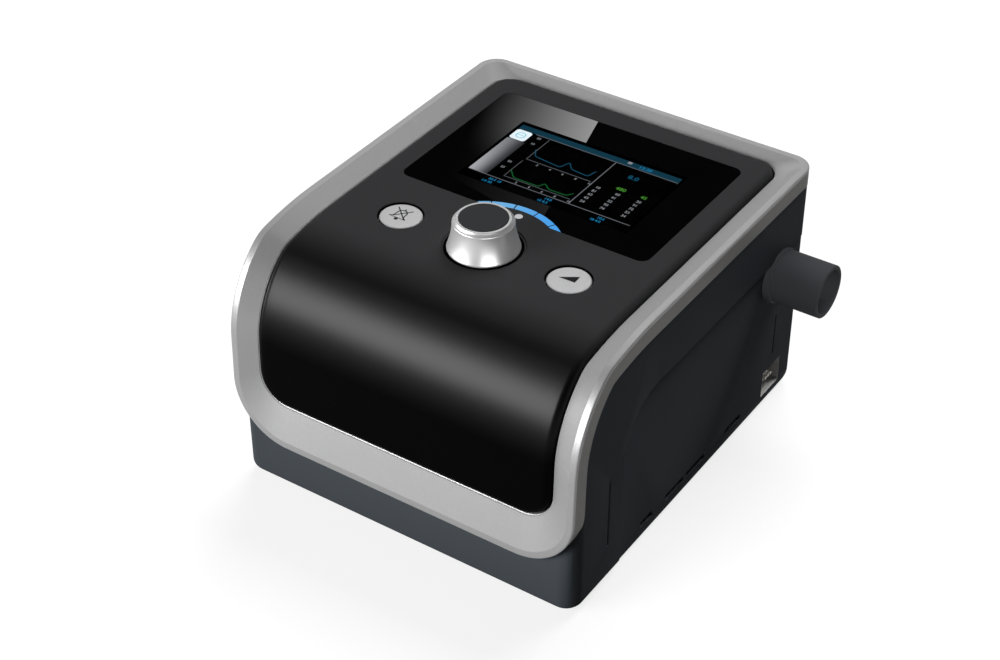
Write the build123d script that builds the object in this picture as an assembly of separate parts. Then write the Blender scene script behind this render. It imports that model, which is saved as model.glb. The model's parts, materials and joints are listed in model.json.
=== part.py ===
"""Bilevel positive airway pressure machine for the bedside, in millimetres.

X runs across the machine (the air outlet is on +X), Y from front to rear and Z up.
Every piece is drawn about the middle plane of the casing and moved once, when it
is written, so that the origin lies under the middle of the whole machine's box.
"""
from build123d import *
from math import cos, sin, tan, radians
import os

os.makedirs("parts", exist_ok=True)

# Casing, seen from outside
foot_height = 2.0
case_half_width = 77.5
case_front_y = -87.6
case_rear_y = 89.6
case_corner_r = 7.4
case_bottom_r = 4.0
case_wall = 2.4
case_floor = 2.6

# Side profile of the crown: a flat top, three tangent arcs and a front that leans out
crown_top_z = 108.3
crown_flat_inset = 51.8
crown_radii = (150.0, 16.0, 46.0)
crown_turns = (11.0, 38.0, 88.0)

# Silver frame round the front panel
frame_overhang = 0.5
frame_rear_overhang = 0.4
frame_side = 11.1
frame_back = 6.9
frame_bottom_z = 24.4
frame_skirt = 7.8
frame_band = 3.0
frame_slope_drop = 3.6
frame_plate = 2.0
frame_wall = 2.6
frame_rear_corner_r = 9.0
frame_bottom_corner_r = 25.0
frame_gap = 0.3
opening_bottom_z = 42.3
opening_rear_corner_r = 10.0
opening_bottom_corner_r = 13.0

# Front panel that runs over the top and down the front
panel_gap = 0.6
panel_sink = 1.55
panel_plate = 3.0
panel_skirt = 2.4
panel_edge_r = 3.0
panel_flange = 2.0
panel_flange_gap = 0.4
panel_flange_reach = 3.0

# Screen window, its printed mask and the display under it
window_side_inset = 10.9
window_rear_inset = 13.1
window_before_arc = 3.9
window_corner_r = 4.0
lens_thickness = 1.6
lens_fit = 0.1
mask_thickness = 0.3
display_half_width = 38.0
display_behind_arc = 4.1
display_rear_y = 54.3
display_border = 2.0
display_glass = 2.2
display_fit = 0.3
display_backlight = 3.0
holder_wall = 1.6
holder_rim = 1.5
holder_ledge = 4.0

# Light arc behind the knob, its indicator dot and their places under the window
arc_inner_r = 27.6
arc_width = 2.8
arc_gap = 0.6
arc_gap_turns = (-28.5, -9.5, 9.5, 28.5)
arc_fit = 0.1
indicator_before_arc = 3.8
indicator_r = 1.55
indicator_fit = 0.05

# Knob with its encoder
knob_inset = 5.3
knob_base_r = 14.1
knob_waist_r = 11.9
knob_top_r = 11.35
knob_height = 12.55
knob_waist_drop = 4.4
knob_foot = 0.7
knob_hollow = 0.35
knob_edge_r = 1.2
knob_sink = 0.8
knob_wall = 1.5
knob_travel = 0.8
knob_hole_gap = 1.2
knob_hole_depth = 2.0
knob_ring_width = 0.7
knob_ring_depth = 0.5
cap_r = 9.4
cap_thickness = 1.2
cap_proud = 0.2
cap_fit = 0.1
hub_r = 4.6
shaft_r = 2.5
shaft_engagement = 8.0
running_fit = 0.06
sleeve_wall = 1.0
encoder_size = 12.4
encoder_height = 6.0
encoder_floor = 1.0
bushing_wall = 1.0
bushing_rise = 2.6
bushing_hole_gap = 0.4

# Round buttons beside the knob
button_x = 38.0
button_before_knob = 0.5
button_r = 8.5
button_hole_gap = 0.6
button_sink = 0.25
button_edge_r = 0.6
button_flange_r = 10.0
button_flange = 1.0
button_travel = 0.7
stem_r = 1.6
rest_gap = 0.3
stem_gap = 0.1
switch_size = 6.0
switch_height = 1.8
switch_plunger = 0.8

# Boards
board_thickness = 1.6
control_board_drop = 6.2
control_board_side_inset = 6.9
control_board_rear_inset = 21.1
control_board_before_knob = 13.5
main_board_side_inset = 17.5
main_board_end_x = 36.0
main_board_y = (-78.0, -16.0)
main_board_post = 5.0
board_inset = 5.0
boss_r = 3.6
screw_r = 1.5
screw_head_r = 2.7
screw_head = 1.8
screw_gap = 0.2
thread_fit = 0.05
board_screw_length = 5.6
chips = ((-20.0, -52.0, 14.0), (4.0, -44.0, 10.0), (-6.0, -68.0, 7.0))
chip_height = 1.8
capacitor_count = 3
capacitor_x = 6.0
capacitor_y = -66.0
capacitor_pitch = 8.0
capacitor_r = 3.0
capacitor_height = 9.0

# Posts and screws that hold the top on the casing
post_r = 4.2
post_top_z = 60.0
post_roof = 4.0
front_post_side_inset = 11.5
front_post_inset = 12.6
rear_post_left_inset = 9.5
rear_post_right_inset = 11.0
rear_post_inset = 6.8
case_screw_length = 14.0

# Air outlet on the right
outlet_y = 65.9
outlet_z = 67.4
outlet_r = 11.15
outlet_bore_r = 9.3
outlet_reach = 21.9
outlet_root_r = 11.7
outlet_root_length = 3.0
outlet_flange_r = 15.0
outlet_flange = 2.0
outlet_spigot = 9.0
outlet_chamfer = 0.6
seal_thickness = 0.8
hole_fit = 0.15

# Dock face for a humidifier, sunk in the right side
dock_depth = 1.5
dock_wall = 2.6
dock_front_y = -52.5
dock_top_z = 75.0
dock_corner_r = 22.0
dock_bevel = 40.0
pocket_y = (62.6, 78.0)
pocket_z = (6.0, 18.4)
pocket_depth = 7.0
pocket_wall = 1.6
socket_length = 6.4
socket_height = 7.0
socket_depth = 4.0
contact_r = 0.8
contact_length = 2.0
contact_count = 3
hook_slot_width = 1.3
hook_slot_depth = 0.9
front_hook_y = -63.4
front_hook_z = (20.0, 52.0)
rear_hook_y = 70.0
rear_hook_z = (24.5, 44.0)
latch_z = (7.2, 9.8)
latch_y = ((-36.0, -27.0), (-17.0, -3.0), (-1.0, 14.0), (31.0, 44.0))
latch_depth = 1.2

# Blower: scroll, wheel and motor
blower_x = -8.0
scroll_step = 3.0
scroll_start_r = 27.0
scroll_wall = 2.0
scroll_height = 30.0
neck_outer_r = 10.8
neck_bore_r = 9.0
neck_start_x = 24.0
neck_end_x = 50.0
coupling_wall = 1.5
coupling_grip = 7.0
coupling_rings = 3
seam_turns = (350.0, 215.0, 130.0)
seam_ear = 3.0
wheel_r = 23.5
wheel_plate = 1.4
wheel_gap = 3.0
wheel_height = 13.0
wheel_blades = 9
wheel_blade = 1.2
wheel_blade_lean = 32.0
wheel_hub_r = 6.0
wheel_eye_r = 11.0
inlet_r = 12.0
gasket_width = 3.0
motor_shaft_r = 2.0
motor_can_r = 15.0
motor_can_height = 20.0
motor_can_wall = 1.6
motor_can_rise = 10.0
motor_flange = 3.5
motor_flange_thickness = 1.6
motor_screw_turns = (90.0, 210.0, 330.0)
motor_screw_reach = 20.0
motor_lead_rise = 4.0
stator_height = 8.0
stator_teeth = 6
stator_slot = 2.0
air_gap = 0.5
magnet_r = 6.0
bearing_r = 5.0
bearing_height = 3.0
seat_wall = 1.0
shaft_hole_gap = 0.5
ear_turns = (5.0, 165.0, 270.0)
ear_r = 6.0
ear_thickness = 3.0
ear_clearance = 0.4
bush_r = 4.0
bush_neck_r = 2.4
bush_head = 1.2
bush_bore_gap = 0.1

# Silencer under the blower
silencer_x = (-60.0, 36.0)
silencer_front_y = -14.0
silencer_top_z = 44.0
silencer_wall = 2.0
silencer_lid = 2.0
foam_gap = 0.3
foam_height = 26.0
foam_channel = 16.0

# Air filter and its cover at the rear
filter_x = -34.0
filter_z = 29.0
filter_width = 46.0
filter_height = 28.0
cover_corner_r = 2.0
cover_fit = 0.3
filter_thickness = 6.0
filter_margin = 2.0
filter_frame = 1.6
filter_ledge = 2.0
grille_slots = 7
grille_slot = 2.4
grille_margin = 4.0

# Sockets at the rear
dc_x = 46.0
dc_z = 22.0
dc_hole_r = 4.4
dc_body = 12.0
dc_depth = 12.0
dc_floor = 3.0
dc_barrel_wall = 1.3
dc_pin_r = 1.1
dc_pin_sink = 1.5
comm_x = 26.0
comm_z = 22.0
comm_width = 13.0
comm_height = 8.0
comm_depth = 7.0
comm_wall = 1.0
comm_flange = 1.5
plug_recess = 1.2
plug_plate = 1.1
plug_margin = 1.6
plug_reach = 5.0
plug_fit = 0.3

# Memory card on the left
card_width = 24.0
card_length = 32.0
card_thickness = 2.1
card_y = -47.0
card_fit = 0.3
card_inset = 0.4
card_socket_wall = 1.2
card_scoop_r = 9.0
card_scoop_depth = 1.0
card_corner_r = 1.0
card_chamfer = 4.0

# Speaker, flat cable and sensing tube
speaker_x = 54.0
speaker_y = -50.0
speaker_r = 11.0
speaker_height = 5.0
speaker_hole_r = 1.0
speaker_hole_ring = 5.0
speaker_holes = 6
speaker_magnet_r = 6.0
speaker_magnet_height = 3.0
speaker_wall = 1.5
cable_inset = 26.0
cable_y = -24.0
cable_width = 20.0
cable_thickness = 0.4
plug_block = 4.0
tube_r = 1.6
tube_bore_r = 0.8
tube_bend_r = 9.0
tube_x = 40.5
sensor_x = 22.0
sensor_y = -24.0
sensor_size = 10.0
sensor_height = 8.0
lead_r = 0.9
lead_bend_r = 4.0
lead_plug = 6.0
lead_plug_height = 3.0
speaker_plug = (30.0, -46.0)
power_plug = (30.0, -64.0)
motor_plug_y = -21.0
lead_level_z = 18.6

# Feet
foot_side_inset = 27.5
foot_end_inset = 17.6
foot_r = 7.0
foot_seat = 1.0
foot_fit = 0.1

frame_half_width = case_half_width + frame_overhang
frame_rear_y = case_rear_y + frame_rear_overhang
opening_half_width = frame_half_width - frame_side
opening_rear_y = frame_rear_y - frame_back
crown_start_y = case_front_y + crown_flat_inset
knob_y = crown_start_y + knob_inset
button_y = knob_y - button_before_knob
indicator_y = knob_y + arc_inner_r - indicator_before_arc
arc_outer_r = arc_inner_r + arc_width
display_front_y = knob_y + arc_outer_r + display_behind_arc
window_half_width = opening_half_width - window_side_inset
window_front_y = knob_y + arc_inner_r - window_before_arc
window_rear_y = opening_rear_y - window_rear_inset
case_floor_z = foot_height + case_floor
panel_top_z = crown_top_z - panel_sink
panel_underside_z = panel_top_z - panel_plate
knob_top_z = panel_top_z + knob_height
lens_bottom_z = panel_top_z - lens_thickness
mask_bottom_z = lens_bottom_z - mask_thickness
control_board_top_z = panel_underside_z - control_board_drop
control_board_bottom_z = control_board_top_z - board_thickness
control_board_half_width = opening_half_width - control_board_side_inset
control_board_front_y = knob_y - control_board_before_knob
control_board_rear_y = opening_rear_y - control_board_rear_inset
cable_x = cable_inset - control_board_half_width
main_board_x = (main_board_side_inset - case_half_width, main_board_end_x)
main_board_z = case_floor_z + main_board_post
main_board_top_z = main_board_z + board_thickness
dock_face_x = case_half_width - dock_depth
dock_inner_x = dock_face_x - dock_wall
inner_half_width = case_half_width - case_wall
inner_front_y = case_front_y + case_wall
inner_rear_y = case_rear_y - case_wall
outlet_end_x = case_half_width + outlet_reach
foot_x = case_half_width - foot_side_inset
foot_front_y = case_front_y + foot_end_inset
foot_rear_y = case_rear_y - foot_end_inset
front_post_x = case_half_width - front_post_side_inset
front_post_y = case_front_y + front_post_inset
rear_post_y = case_rear_y - rear_post_inset
case_post_places = (
    (-front_post_x, front_post_y),
    (front_post_x, front_post_y),
    (rear_post_left_inset - case_half_width, rear_post_y),
    (case_half_width - rear_post_right_inset, rear_post_y),
)
deep = 400.0


def crown_centres():
    """Centres of the three arcs, each tangent to the one before it."""
    centre = Vector(crown_start_y, crown_top_z - crown_radii[0])
    centres = [centre]
    for before, after, turn in zip(crown_radii, crown_radii[1:], crown_turns):
        heading = Vector(-sin(radians(turn)), cos(radians(turn)))
        centre = centre + heading * (before - after)
        centres.append(centre)
    return centres


def crown_point(number, turn, sink):
    heading = Vector(-sin(radians(turn)), cos(radians(turn)))
    return crown_centres()[number] + heading * (crown_radii[number] - sink)


def front_line_y(sink, z):
    """Where the straight front of the crown, moved in by sink, lies at height z."""
    start = crown_point(2, crown_turns[-1], sink)
    return start.X - (start.Y - z) / tan(radians(crown_turns[-1]))


def hood_face(sink, rear_y, bottom_z):
    """Side view under the crown, moved inwards by sink, down to bottom_z."""
    with BuildSketch(Plane.YZ) as side:
        with BuildLine():
            start = Vector(crown_start_y, crown_top_z - sink)
            Line((rear_y, crown_top_z - sink), (start.X, start.Y))
            begin = 0.0
            for number, end in enumerate(crown_turns):
                middle = crown_point(number, (begin + end) / 2, sink)
                finish = crown_point(number, end, sink)
                ThreePointArc((start.X, start.Y), (middle.X, middle.Y), (finish.X, finish.Y))
                start = finish
                begin = end
            Polyline(
                (start.X, start.Y),
                (front_line_y(sink, bottom_z), bottom_z),
                (rear_y, bottom_z),
                (rear_y, crown_top_z - sink),
            )
        make_face()
    return side.sketch


def hood(sink, half_width, rear_y, bottom_z):
    return extrude(hood_face(sink, rear_y, bottom_z), amount=half_width, both=True)


def block(x, y, z):
    """Box between pairs of limits on each axis."""
    size = (x[1] - x[0], y[1] - y[0], z[1] - z[0])
    middle = ((x[0] + x[1]) / 2, (y[0] + y[1]) / 2, (z[0] + z[1]) / 2)
    return Pos(*middle) * Box(*size)


def post(x, y, z, radius):
    """Upright cylinder from z[0] to z[1]."""
    return Pos(x, y, (z[0] + z[1]) / 2) * Cylinder(radius, z[1] - z[0])


def along_x(x, y, z, radius):
    return Pos((x[0] + x[1]) / 2, y, z) * Rot(0, 90, 0) * Cylinder(radius, x[1] - x[0])


def along_y(x, y, z, radius):
    return Pos(x, (y[0] + y[1]) / 2, z) * Rot(90, 0, 0) * Cylinder(radius, y[1] - y[0])


def rounded_plan(x, y, z, radius):
    """Block whose four upright edges are rounded."""
    plate = block(x, y, z)
    return fillet(plate.edges().filter_by(Axis.Z), radius)


def corner_block(half_width, rear_y, bottom_z, rear_r, bottom_r):
    """Block with rounded corners behind (in plan) and below (from the front)."""
    plan = block((-half_width, half_width), (-deep, rear_y), (-deep, deep))
    plan = fillet(plan.edges().filter_by(Axis.Z).group_by(Axis.Y)[-1], rear_r)
    front = block((-half_width, half_width), (-deep, deep), (bottom_z, deep))
    front = fillet(front.edges().filter_by(Axis.Y).group_by(Axis.Z)[0], bottom_r)
    return plan & front


def opening(shrink):
    """Block that fills the frame's opening."""
    return corner_block(
        opening_half_width - shrink,
        opening_rear_y - shrink,
        opening_bottom_z + shrink,
        opening_rear_corner_r - shrink,
        opening_bottom_corner_r - shrink,
    )


def save(node, shape):
    """Write one piece, moved so that the origin is under the middle of the machine's box."""
    middle_x = (outlet_end_x - frame_half_width) / 2
    middle_y = (frame_rear_y + front_line_y(0, frame_bottom_z)) / 2
    solids = Compound(children=[Pos(-middle_x, -middle_y, 0) * solid for solid in shape.solids()])
    export_step(solids, f"parts/{node}.step")


blower_y = outlet_y + neck_bore_r - scroll_start_r - 4 * scroll_step
scroll_bottom_z = outlet_z - scroll_height / 2
scroll_top_z = outlet_z + scroll_height / 2
lid_top_z = silencer_top_z + silencer_lid
silencer_rear_y = inner_rear_y - filter_thickness - filter_frame
wheel_z = scroll_bottom_z + scroll_wall + wheel_gap
can_z = scroll_top_z + motor_can_rise - motor_can_height
flange_sink = frame_slope_drop + frame_plate
card_bottom_z = main_board_top_z + card_socket_wall + card_fit
card_x = -case_half_width + card_inset
knob_floor_z = panel_top_z - knob_sink
button_top_z = panel_top_z - button_sink
encoder_top_z = control_board_top_z + encoder_height
bushing_top_z = encoder_top_z + bushing_rise
sleeve_bottom_z = control_board_top_z + encoder_floor + knob_travel + rest_gap
sleeve_r = shaft_r + running_fit + sleeve_wall
bushing_r = sleeve_r + running_fit + bushing_wall
hub_bottom_z = bushing_top_z + knob_travel + rest_gap
cap_recess = cap_thickness - cap_proud
switch_top_z = control_board_top_z + switch_height + switch_plunger
lcd_top_z = mask_bottom_z - display_fit
lcd_bottom_z = lcd_top_z - display_glass - display_backlight
control_screw_tip_z = control_board_bottom_z + board_screw_length
can_top_z = can_z + motor_can_height
motor_flange_top_z = scroll_top_z + motor_flange_thickness
lower_bearing_z = can_z + motor_can_wall
upper_bearing_z = can_top_z - bearing_height
stator_middle_z = (lower_bearing_z + bearing_height + upper_bearing_z) / 2
stator_z = (stator_middle_z - stator_height / 2, stator_middle_z + stator_height / 2)
outlet_flange_x = dock_inner_x - seal_thickness - outlet_flange
spigot_end_x = outlet_flange_x - outlet_spigot
pocket_middle_y = (pocket_y[0] + pocket_y[1]) / 2
pocket_middle_z = (pocket_z[0] + pocket_z[1]) / 2
lead_plug_top_z = main_board_top_z + lead_plug_height
dc_bore_r = dc_hole_r - hole_fit - dc_barrel_wall
control_board_places = [
    (x, y)
    for x in (board_inset - control_board_half_width, control_board_half_width - board_inset)
    for y in (
        control_board_front_y + board_inset,
        (control_board_front_y + control_board_rear_y) / 2,
        control_board_rear_y - board_inset,
    )
]
main_board_places = [
    (x, y)
    for x in (main_board_x[0] + board_inset, main_board_x[1] - board_inset)
    for y in (main_board_y[0] + board_inset, main_board_y[1] - board_inset)
]


def scroll_radius(turn):
    """Inner radius of the scroll, which grows clockwise from the throat at 90 degrees."""
    return scroll_start_r + scroll_step * ((90 - turn) % 360) / 90


def round_the_blower(reach, turn):
    return (blower_x + reach * cos(radians(turn)), blower_y + reach * sin(radians(turn)))


def beside_the_scroll(clear_r, turns):
    """Places whose discs of radius clear_r just miss the outside of the scroll."""
    beside = scroll_wall + clear_r + ear_clearance
    return [round_the_blower(scroll_radius(turn) + beside, turn) for turn in turns]


ear_places = beside_the_scroll(bush_r, ear_turns)
seam_places = beside_the_scroll(screw_head_r, seam_turns)
motor_screw_places = [round_the_blower(motor_screw_reach, turn) for turn in motor_screw_turns]


def screw(x, y, head_z, tip_z):
    """Pan-head screw: the head lies beyond head_z, on the side away from the tip."""
    away = 1 if head_z > tip_z else -1
    head = post(x, y, sorted((head_z, head_z + away * screw_head)), screw_head_r)
    return head + post(x, y, sorted((head_z, tip_z)), screw_r)


def pilot(x, y, z):
    return post(x, y, z, screw_r + thread_fit)


def dock_recess():
    """Space cut from the right side for the dock face, with bevelled edges."""
    with BuildSketch(Plane.YZ.offset(dock_face_x)) as outline:
        with Locations(((dock_front_y + deep) / 2, (dock_top_z - deep) / 2)):
            Rectangle(deep - dock_front_y, deep + dock_top_z)
        corner = outline.vertices().sort_by(Axis.X)[:2].sort_by(Axis.Y)[-1]
        fillet(corner, dock_corner_r)
    return extrude(outline.sketch, amount=dock_depth + 1, taper=-dock_bevel)


def rear_box(x, z, width, height, y):
    """Block seen square on from the rear."""
    return block((x - width / 2, x + width / 2), y, (z - height / 2, z + height / 2))


def cover_box(grow, y):
    return rear_box(filter_x, filter_z, filter_width + 2 * grow, filter_height + 2 * grow, y)


def filter_box(grow, y):
    return cover_box(grow - filter_margin, y)


def comm_box(grow, y):
    return rear_box(comm_x, comm_z, comm_width + 2 * grow, comm_height + 2 * grow, y)


def card_box(x, fit):
    return block(
        x,
        (card_y - card_width / 2 - fit, card_y + card_width / 2 + fit),
        (card_bottom_z - fit, card_bottom_z + card_thickness + fit),
    )


def housing_shell():
    """Tub with a filleted foot, cut to the crown's line and hollowed.

    In front it rises as shoulders behind the round bottom corners of the frame.
    """
    outer = rounded_plan(
        (-case_half_width, case_half_width),
        (case_front_y, case_rear_y),
        (foot_height, crown_top_z),
        case_corner_r,
    )
    outer = fillet(outer.edges().group_by(Axis.Z)[0], case_bottom_r)
    crown = hood(frame_skirt, deep, deep, -deep)
    sill = block((-deep, deep), (-deep, deep), (-deep, frame_bottom_z))
    shoulders = block((-deep, deep), (-deep, 0), (-deep, frame_bottom_z + frame_bottom_corner_r))
    shell = outer & (crown + sill + (shoulders - frame_block(-frame_gap)))
    cavity = rounded_plan(
        (-inner_half_width, inner_half_width),
        (inner_front_y, inner_rear_y),
        (case_floor_z, frame_bottom_z - case_wall),
        case_corner_r - case_wall,
    )
    cavity += rounded_plan(
        (-inner_half_width, inner_half_width),
        (front_line_y(frame_skirt, frame_bottom_z) + case_wall, inner_rear_y),
        (case_floor_z, deep),
        case_corner_r - case_wall,
    )
    flange_room = panel_flange_reach + cover_fit
    cavity += opening(-flange_room) & block((-deep, deep), (-deep, 0), (-deep, deep))
    dock_pad = block(
        (dock_inner_x, deep),
        (dock_front_y - dock_wall, deep),
        (-deep, dock_top_z + dock_wall),
    )
    outlet_pad = along_x((dock_inner_x, deep), outlet_y, outlet_z, outlet_flange_r + hole_fit)
    return shell - (cavity - dock_pad - outlet_pad)


def main_housing():
    tub = housing_shell()
    for x, y in case_post_places:
        tub += post(x, y, (case_floor_z, post_top_z), post_r)
    for x, y in main_board_places:
        tub += post(x, y, (case_floor_z, main_board_z), boss_r)
    tub += cover_box(filter_frame, (silencer_rear_y, inner_rear_y))
    pocket_box = block(
        (dock_face_x - pocket_depth - pocket_wall, dock_inner_x),
        (pocket_y[0] - pocket_wall, pocket_y[1] + pocket_wall),
        (case_floor_z, pocket_z[1] + pocket_wall),
    )
    tub += pocket_box

    tub -= dock_recess()
    for x, y in case_post_places:
        tub -= post(x, y, (0, post_top_z - post_roof), screw_head_r + card_fit)
        tub -= pilot(x, y, (0, post_top_z))
    for x, y in main_board_places:
        tub -= pilot(x, y, (case_floor_z, main_board_z))
    tub -= block((dock_face_x - pocket_depth, deep), pocket_y, pocket_z)
    tub -= along_x((dock_inner_x - 1, deep), outlet_y, outlet_z, outlet_root_r + hole_fit)
    tub -= cover_box(cover_fit, (inner_rear_y, deep))
    tub -= filter_box(cover_fit, (silencer_rear_y + filter_frame, inner_rear_y))
    tub -= filter_box(-filter_ledge, (silencer_rear_y - 1, inner_rear_y))
    tub -= along_y(dc_x, (inner_rear_y - 1, deep), dc_z, dc_hole_r)
    tub -= comm_box(0, (inner_rear_y - 1, deep))
    tub -= comm_box(plug_margin + plug_fit, (case_rear_y - plug_recess, deep))
    tub -= card_box((-deep, -inner_half_width + 1), card_fit)
    scoop = (-deep, card_scoop_depth - case_half_width)
    tub -= along_x(scoop, card_y, card_bottom_z + card_thickness / 2, card_scoop_r)
    tub -= post(speaker_x, speaker_y, (0, case_floor_z), speaker_hole_r)
    for number in range(speaker_holes):
        turn = radians(360 * number / speaker_holes)
        x = speaker_x + speaker_hole_ring * cos(turn)
        y = speaker_y + speaker_hole_ring * sin(turn)
        tub -= post(x, y, (0, case_floor_z), speaker_hole_r)
    for x, y in foot_places():
        tub -= post(x, y, (0, foot_height + foot_seat), foot_r + foot_fit)
    tub -= hook_slot(case_half_width, front_hook_y, front_hook_z)
    tub -= hook_slot(dock_face_x, rear_hook_y, rear_hook_z)
    for y in latch_y:
        tub -= block((dock_face_x - latch_depth, deep), y, latch_z)
    return tub


def hook_slot(face_x, y, z):
    half = hook_slot_width / 2
    return block((face_x - hook_slot_depth, deep), (y - half, y + half), z)


def foot_places():
    return [(x, y) for x in (-foot_x, foot_x) for y in (foot_front_y, foot_rear_y)]


def feet():
    return Compound(children=[post(x, y, (0, foot_height + foot_seat), foot_r) for x, y in foot_places()])


def slope_cutter():
    """What is cut from the frame so that its face falls towards the opening."""
    band_x = frame_half_width - frame_band
    lofts = []
    for side in (-1, 1):
        outer = Pos(side * band_x, 0, 0) * hood_face(0, deep, -deep)
        inner = Pos(side * opening_half_width, 0, 0) * hood_face(frame_slope_drop, deep, -deep)
        lofts.append(loft([outer, inner], ruled=True))
    kept = hood(frame_slope_drop, opening_half_width, deep, -deep) + lofts[0] + lofts[1]
    removed = block((-band_x, band_x), (-deep / 2, deep / 2), (-deep / 2, deep / 2)) - kept

    rear_y = frame_rear_y - frame_band
    with BuildSketch(Plane.YZ) as side_view:
        with BuildLine():
            rise = deep / 4
            run = rise * (rear_y - opening_rear_y) / frame_slope_drop
            Polyline(
                (opening_rear_y, crown_top_z - frame_slope_drop),
                (rear_y + run, crown_top_z + rise),
                (-deep, crown_top_z + rise),
                (-deep, frame_bottom_z),
                (front_line_y(0, frame_bottom_z + frame_band), frame_bottom_z + frame_band),
                (front_line_y(frame_slope_drop, opening_bottom_z), opening_bottom_z),
                (0, opening_bottom_z),
                (0, crown_top_z - frame_slope_drop),
                close=True,
            )
        make_face()
    return removed & extrude(side_view.sketch, amount=deep / 2, both=True)


def frame_block(shrink):
    return corner_block(
        frame_half_width - shrink,
        frame_rear_y - shrink,
        frame_bottom_z + shrink,
        frame_rear_corner_r - shrink,
        frame_bottom_corner_r - shrink,
    )


def bezel_frame():
    """Silver frame: a flat outer band, a face that falls to the opening, and a skirt."""
    shell = hood(0, deep, deep, -deep) - hood(frame_skirt, deep, deep, -deep)
    frame = shell & frame_block(0)
    frame -= hood(flange_sink, deep, deep, -deep) & frame_block(frame_wall)
    return frame - opening(0) - slope_cutter()


def window_block(shrink, z):
    return rounded_plan(
        (shrink - window_half_width, window_half_width - shrink),
        (window_front_y + shrink, window_rear_y - shrink),
        z,
        window_corner_r,
    )


def display_block(grow, z):
    half = display_half_width + grow
    return block((-half, half), (display_front_y - grow, display_rear_y + grow), z)


def lens_blank(grow, z):
    """Outline of the window: its front edge gives way to the light arc and the disc inside it."""
    return window_block(-grow, z) - post(0, knob_y, z, arc_outer_r + arc_fit - grow)


def arc_segments(grow, z):
    """Lit pieces of a ring about the knob, cut off by the front edge of the window."""
    ring = post(0, knob_y, z, arc_outer_r + grow) - post(0, knob_y, z, arc_inner_r - grow)
    lit = ring & block((-deep, deep), (window_front_y - grow, deep), z)
    for turn in arc_gap_turns:
        bar = block((grow - arc_gap / 2, arc_gap / 2 - grow), (0, deep), z)
        lit -= Pos(0, knob_y, 0) * Rot(0, 0, -turn) * bar
    return lit


def rim_edges(shape):
    """Edges where the crown meets the sides of the outline."""
    crown = []
    for face in shape.faces():
        normal = face.normal_at()
        if abs(normal.X) < 0.01 and (normal.Z > 0.01 or normal.Y < -0.5):
            crown.append(face)
    edges = [edge for face in crown for edge in face.edges()]
    return [edge for edge in edges if edges.count(edge) == 1]


def front_panel():
    """Dark cover over the top and down the front, with a skirt and a flange under the frame."""
    outer = hood(panel_sink, deep, deep, -deep) & opening(panel_gap)
    outer = fillet(rim_edges(outer), panel_edge_r)
    inside = opening(panel_gap + panel_skirt)
    under_frame = hood(flange_sink + panel_flange_gap, deep, deep, -deep)
    below = hood(flange_sink + panel_flange_gap + panel_flange, deep, deep, -deep)
    panel = outer - (hood(panel_sink + panel_plate, deep, deep, -deep) & inside)
    panel += (under_frame & opening(-panel_flange_reach)) - inside
    panel -= below
    for x, y in case_post_places:
        panel += post(x, y, (post_top_z, crown_top_z), post_r) & under_frame
    for x, y in control_board_places:
        panel += post(x, y, (control_board_top_z, panel_underside_z), boss_r)

    panel -= lens_blank(lens_fit, (mask_bottom_z, deep))
    panel -= display_block(display_border + display_fit, (control_board_top_z, deep))
    panel -= arc_segments(arc_fit, (control_board_top_z, deep))
    panel -= post(0, indicator_y, (control_board_top_z, deep), indicator_r + indicator_fit)
    hole_r = knob_base_r + knob_hole_gap
    panel -= post(0, knob_y, (panel_top_z - knob_ring_depth, deep), hole_r + knob_ring_width)
    panel -= post(0, knob_y, (panel_top_z - knob_hole_depth, deep), hole_r)
    panel -= post(0, knob_y, (control_board_top_z, deep), bushing_r + bushing_hole_gap)
    for side in (-1, 1):
        panel -= post(side * button_x, button_y, (control_board_top_z, deep), button_r + button_hole_gap)
    for x, y in case_post_places:
        panel -= pilot(x, y, (post_top_z, post_top_z - post_roof + case_screw_length))
    for x, y in control_board_places:
        panel -= pilot(x, y, (control_board_top_z, control_screw_tip_z))
    return panel


def screen_lens():
    return lens_blank(0, (lens_bottom_z, panel_top_z))


def display_mask():
    z = (mask_bottom_z, lens_bottom_z)
    return lens_blank(0, z) - display_block(0, z)


def lcd_panel():
    glass = display_block(display_border, (lcd_top_z - display_glass, lcd_top_z))
    return glass + display_block(display_border, (lcd_bottom_z, lcd_top_z - display_glass))


def lcd_holder():
    """Tray on the control board that the display lies in."""
    grow = display_border + display_fit
    tray = display_block(grow + holder_wall, (control_board_top_z, lcd_bottom_z + holder_rim))
    return tray - display_block(grow, (lcd_bottom_z, deep)) - display_block(-holder_ledge, (0, deep))


def light_arc():
    return arc_segments(0, (control_board_top_z, panel_top_z))


def indicator_lens():
    return post(0, indicator_y, (control_board_top_z, panel_top_z), indicator_r)


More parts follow.
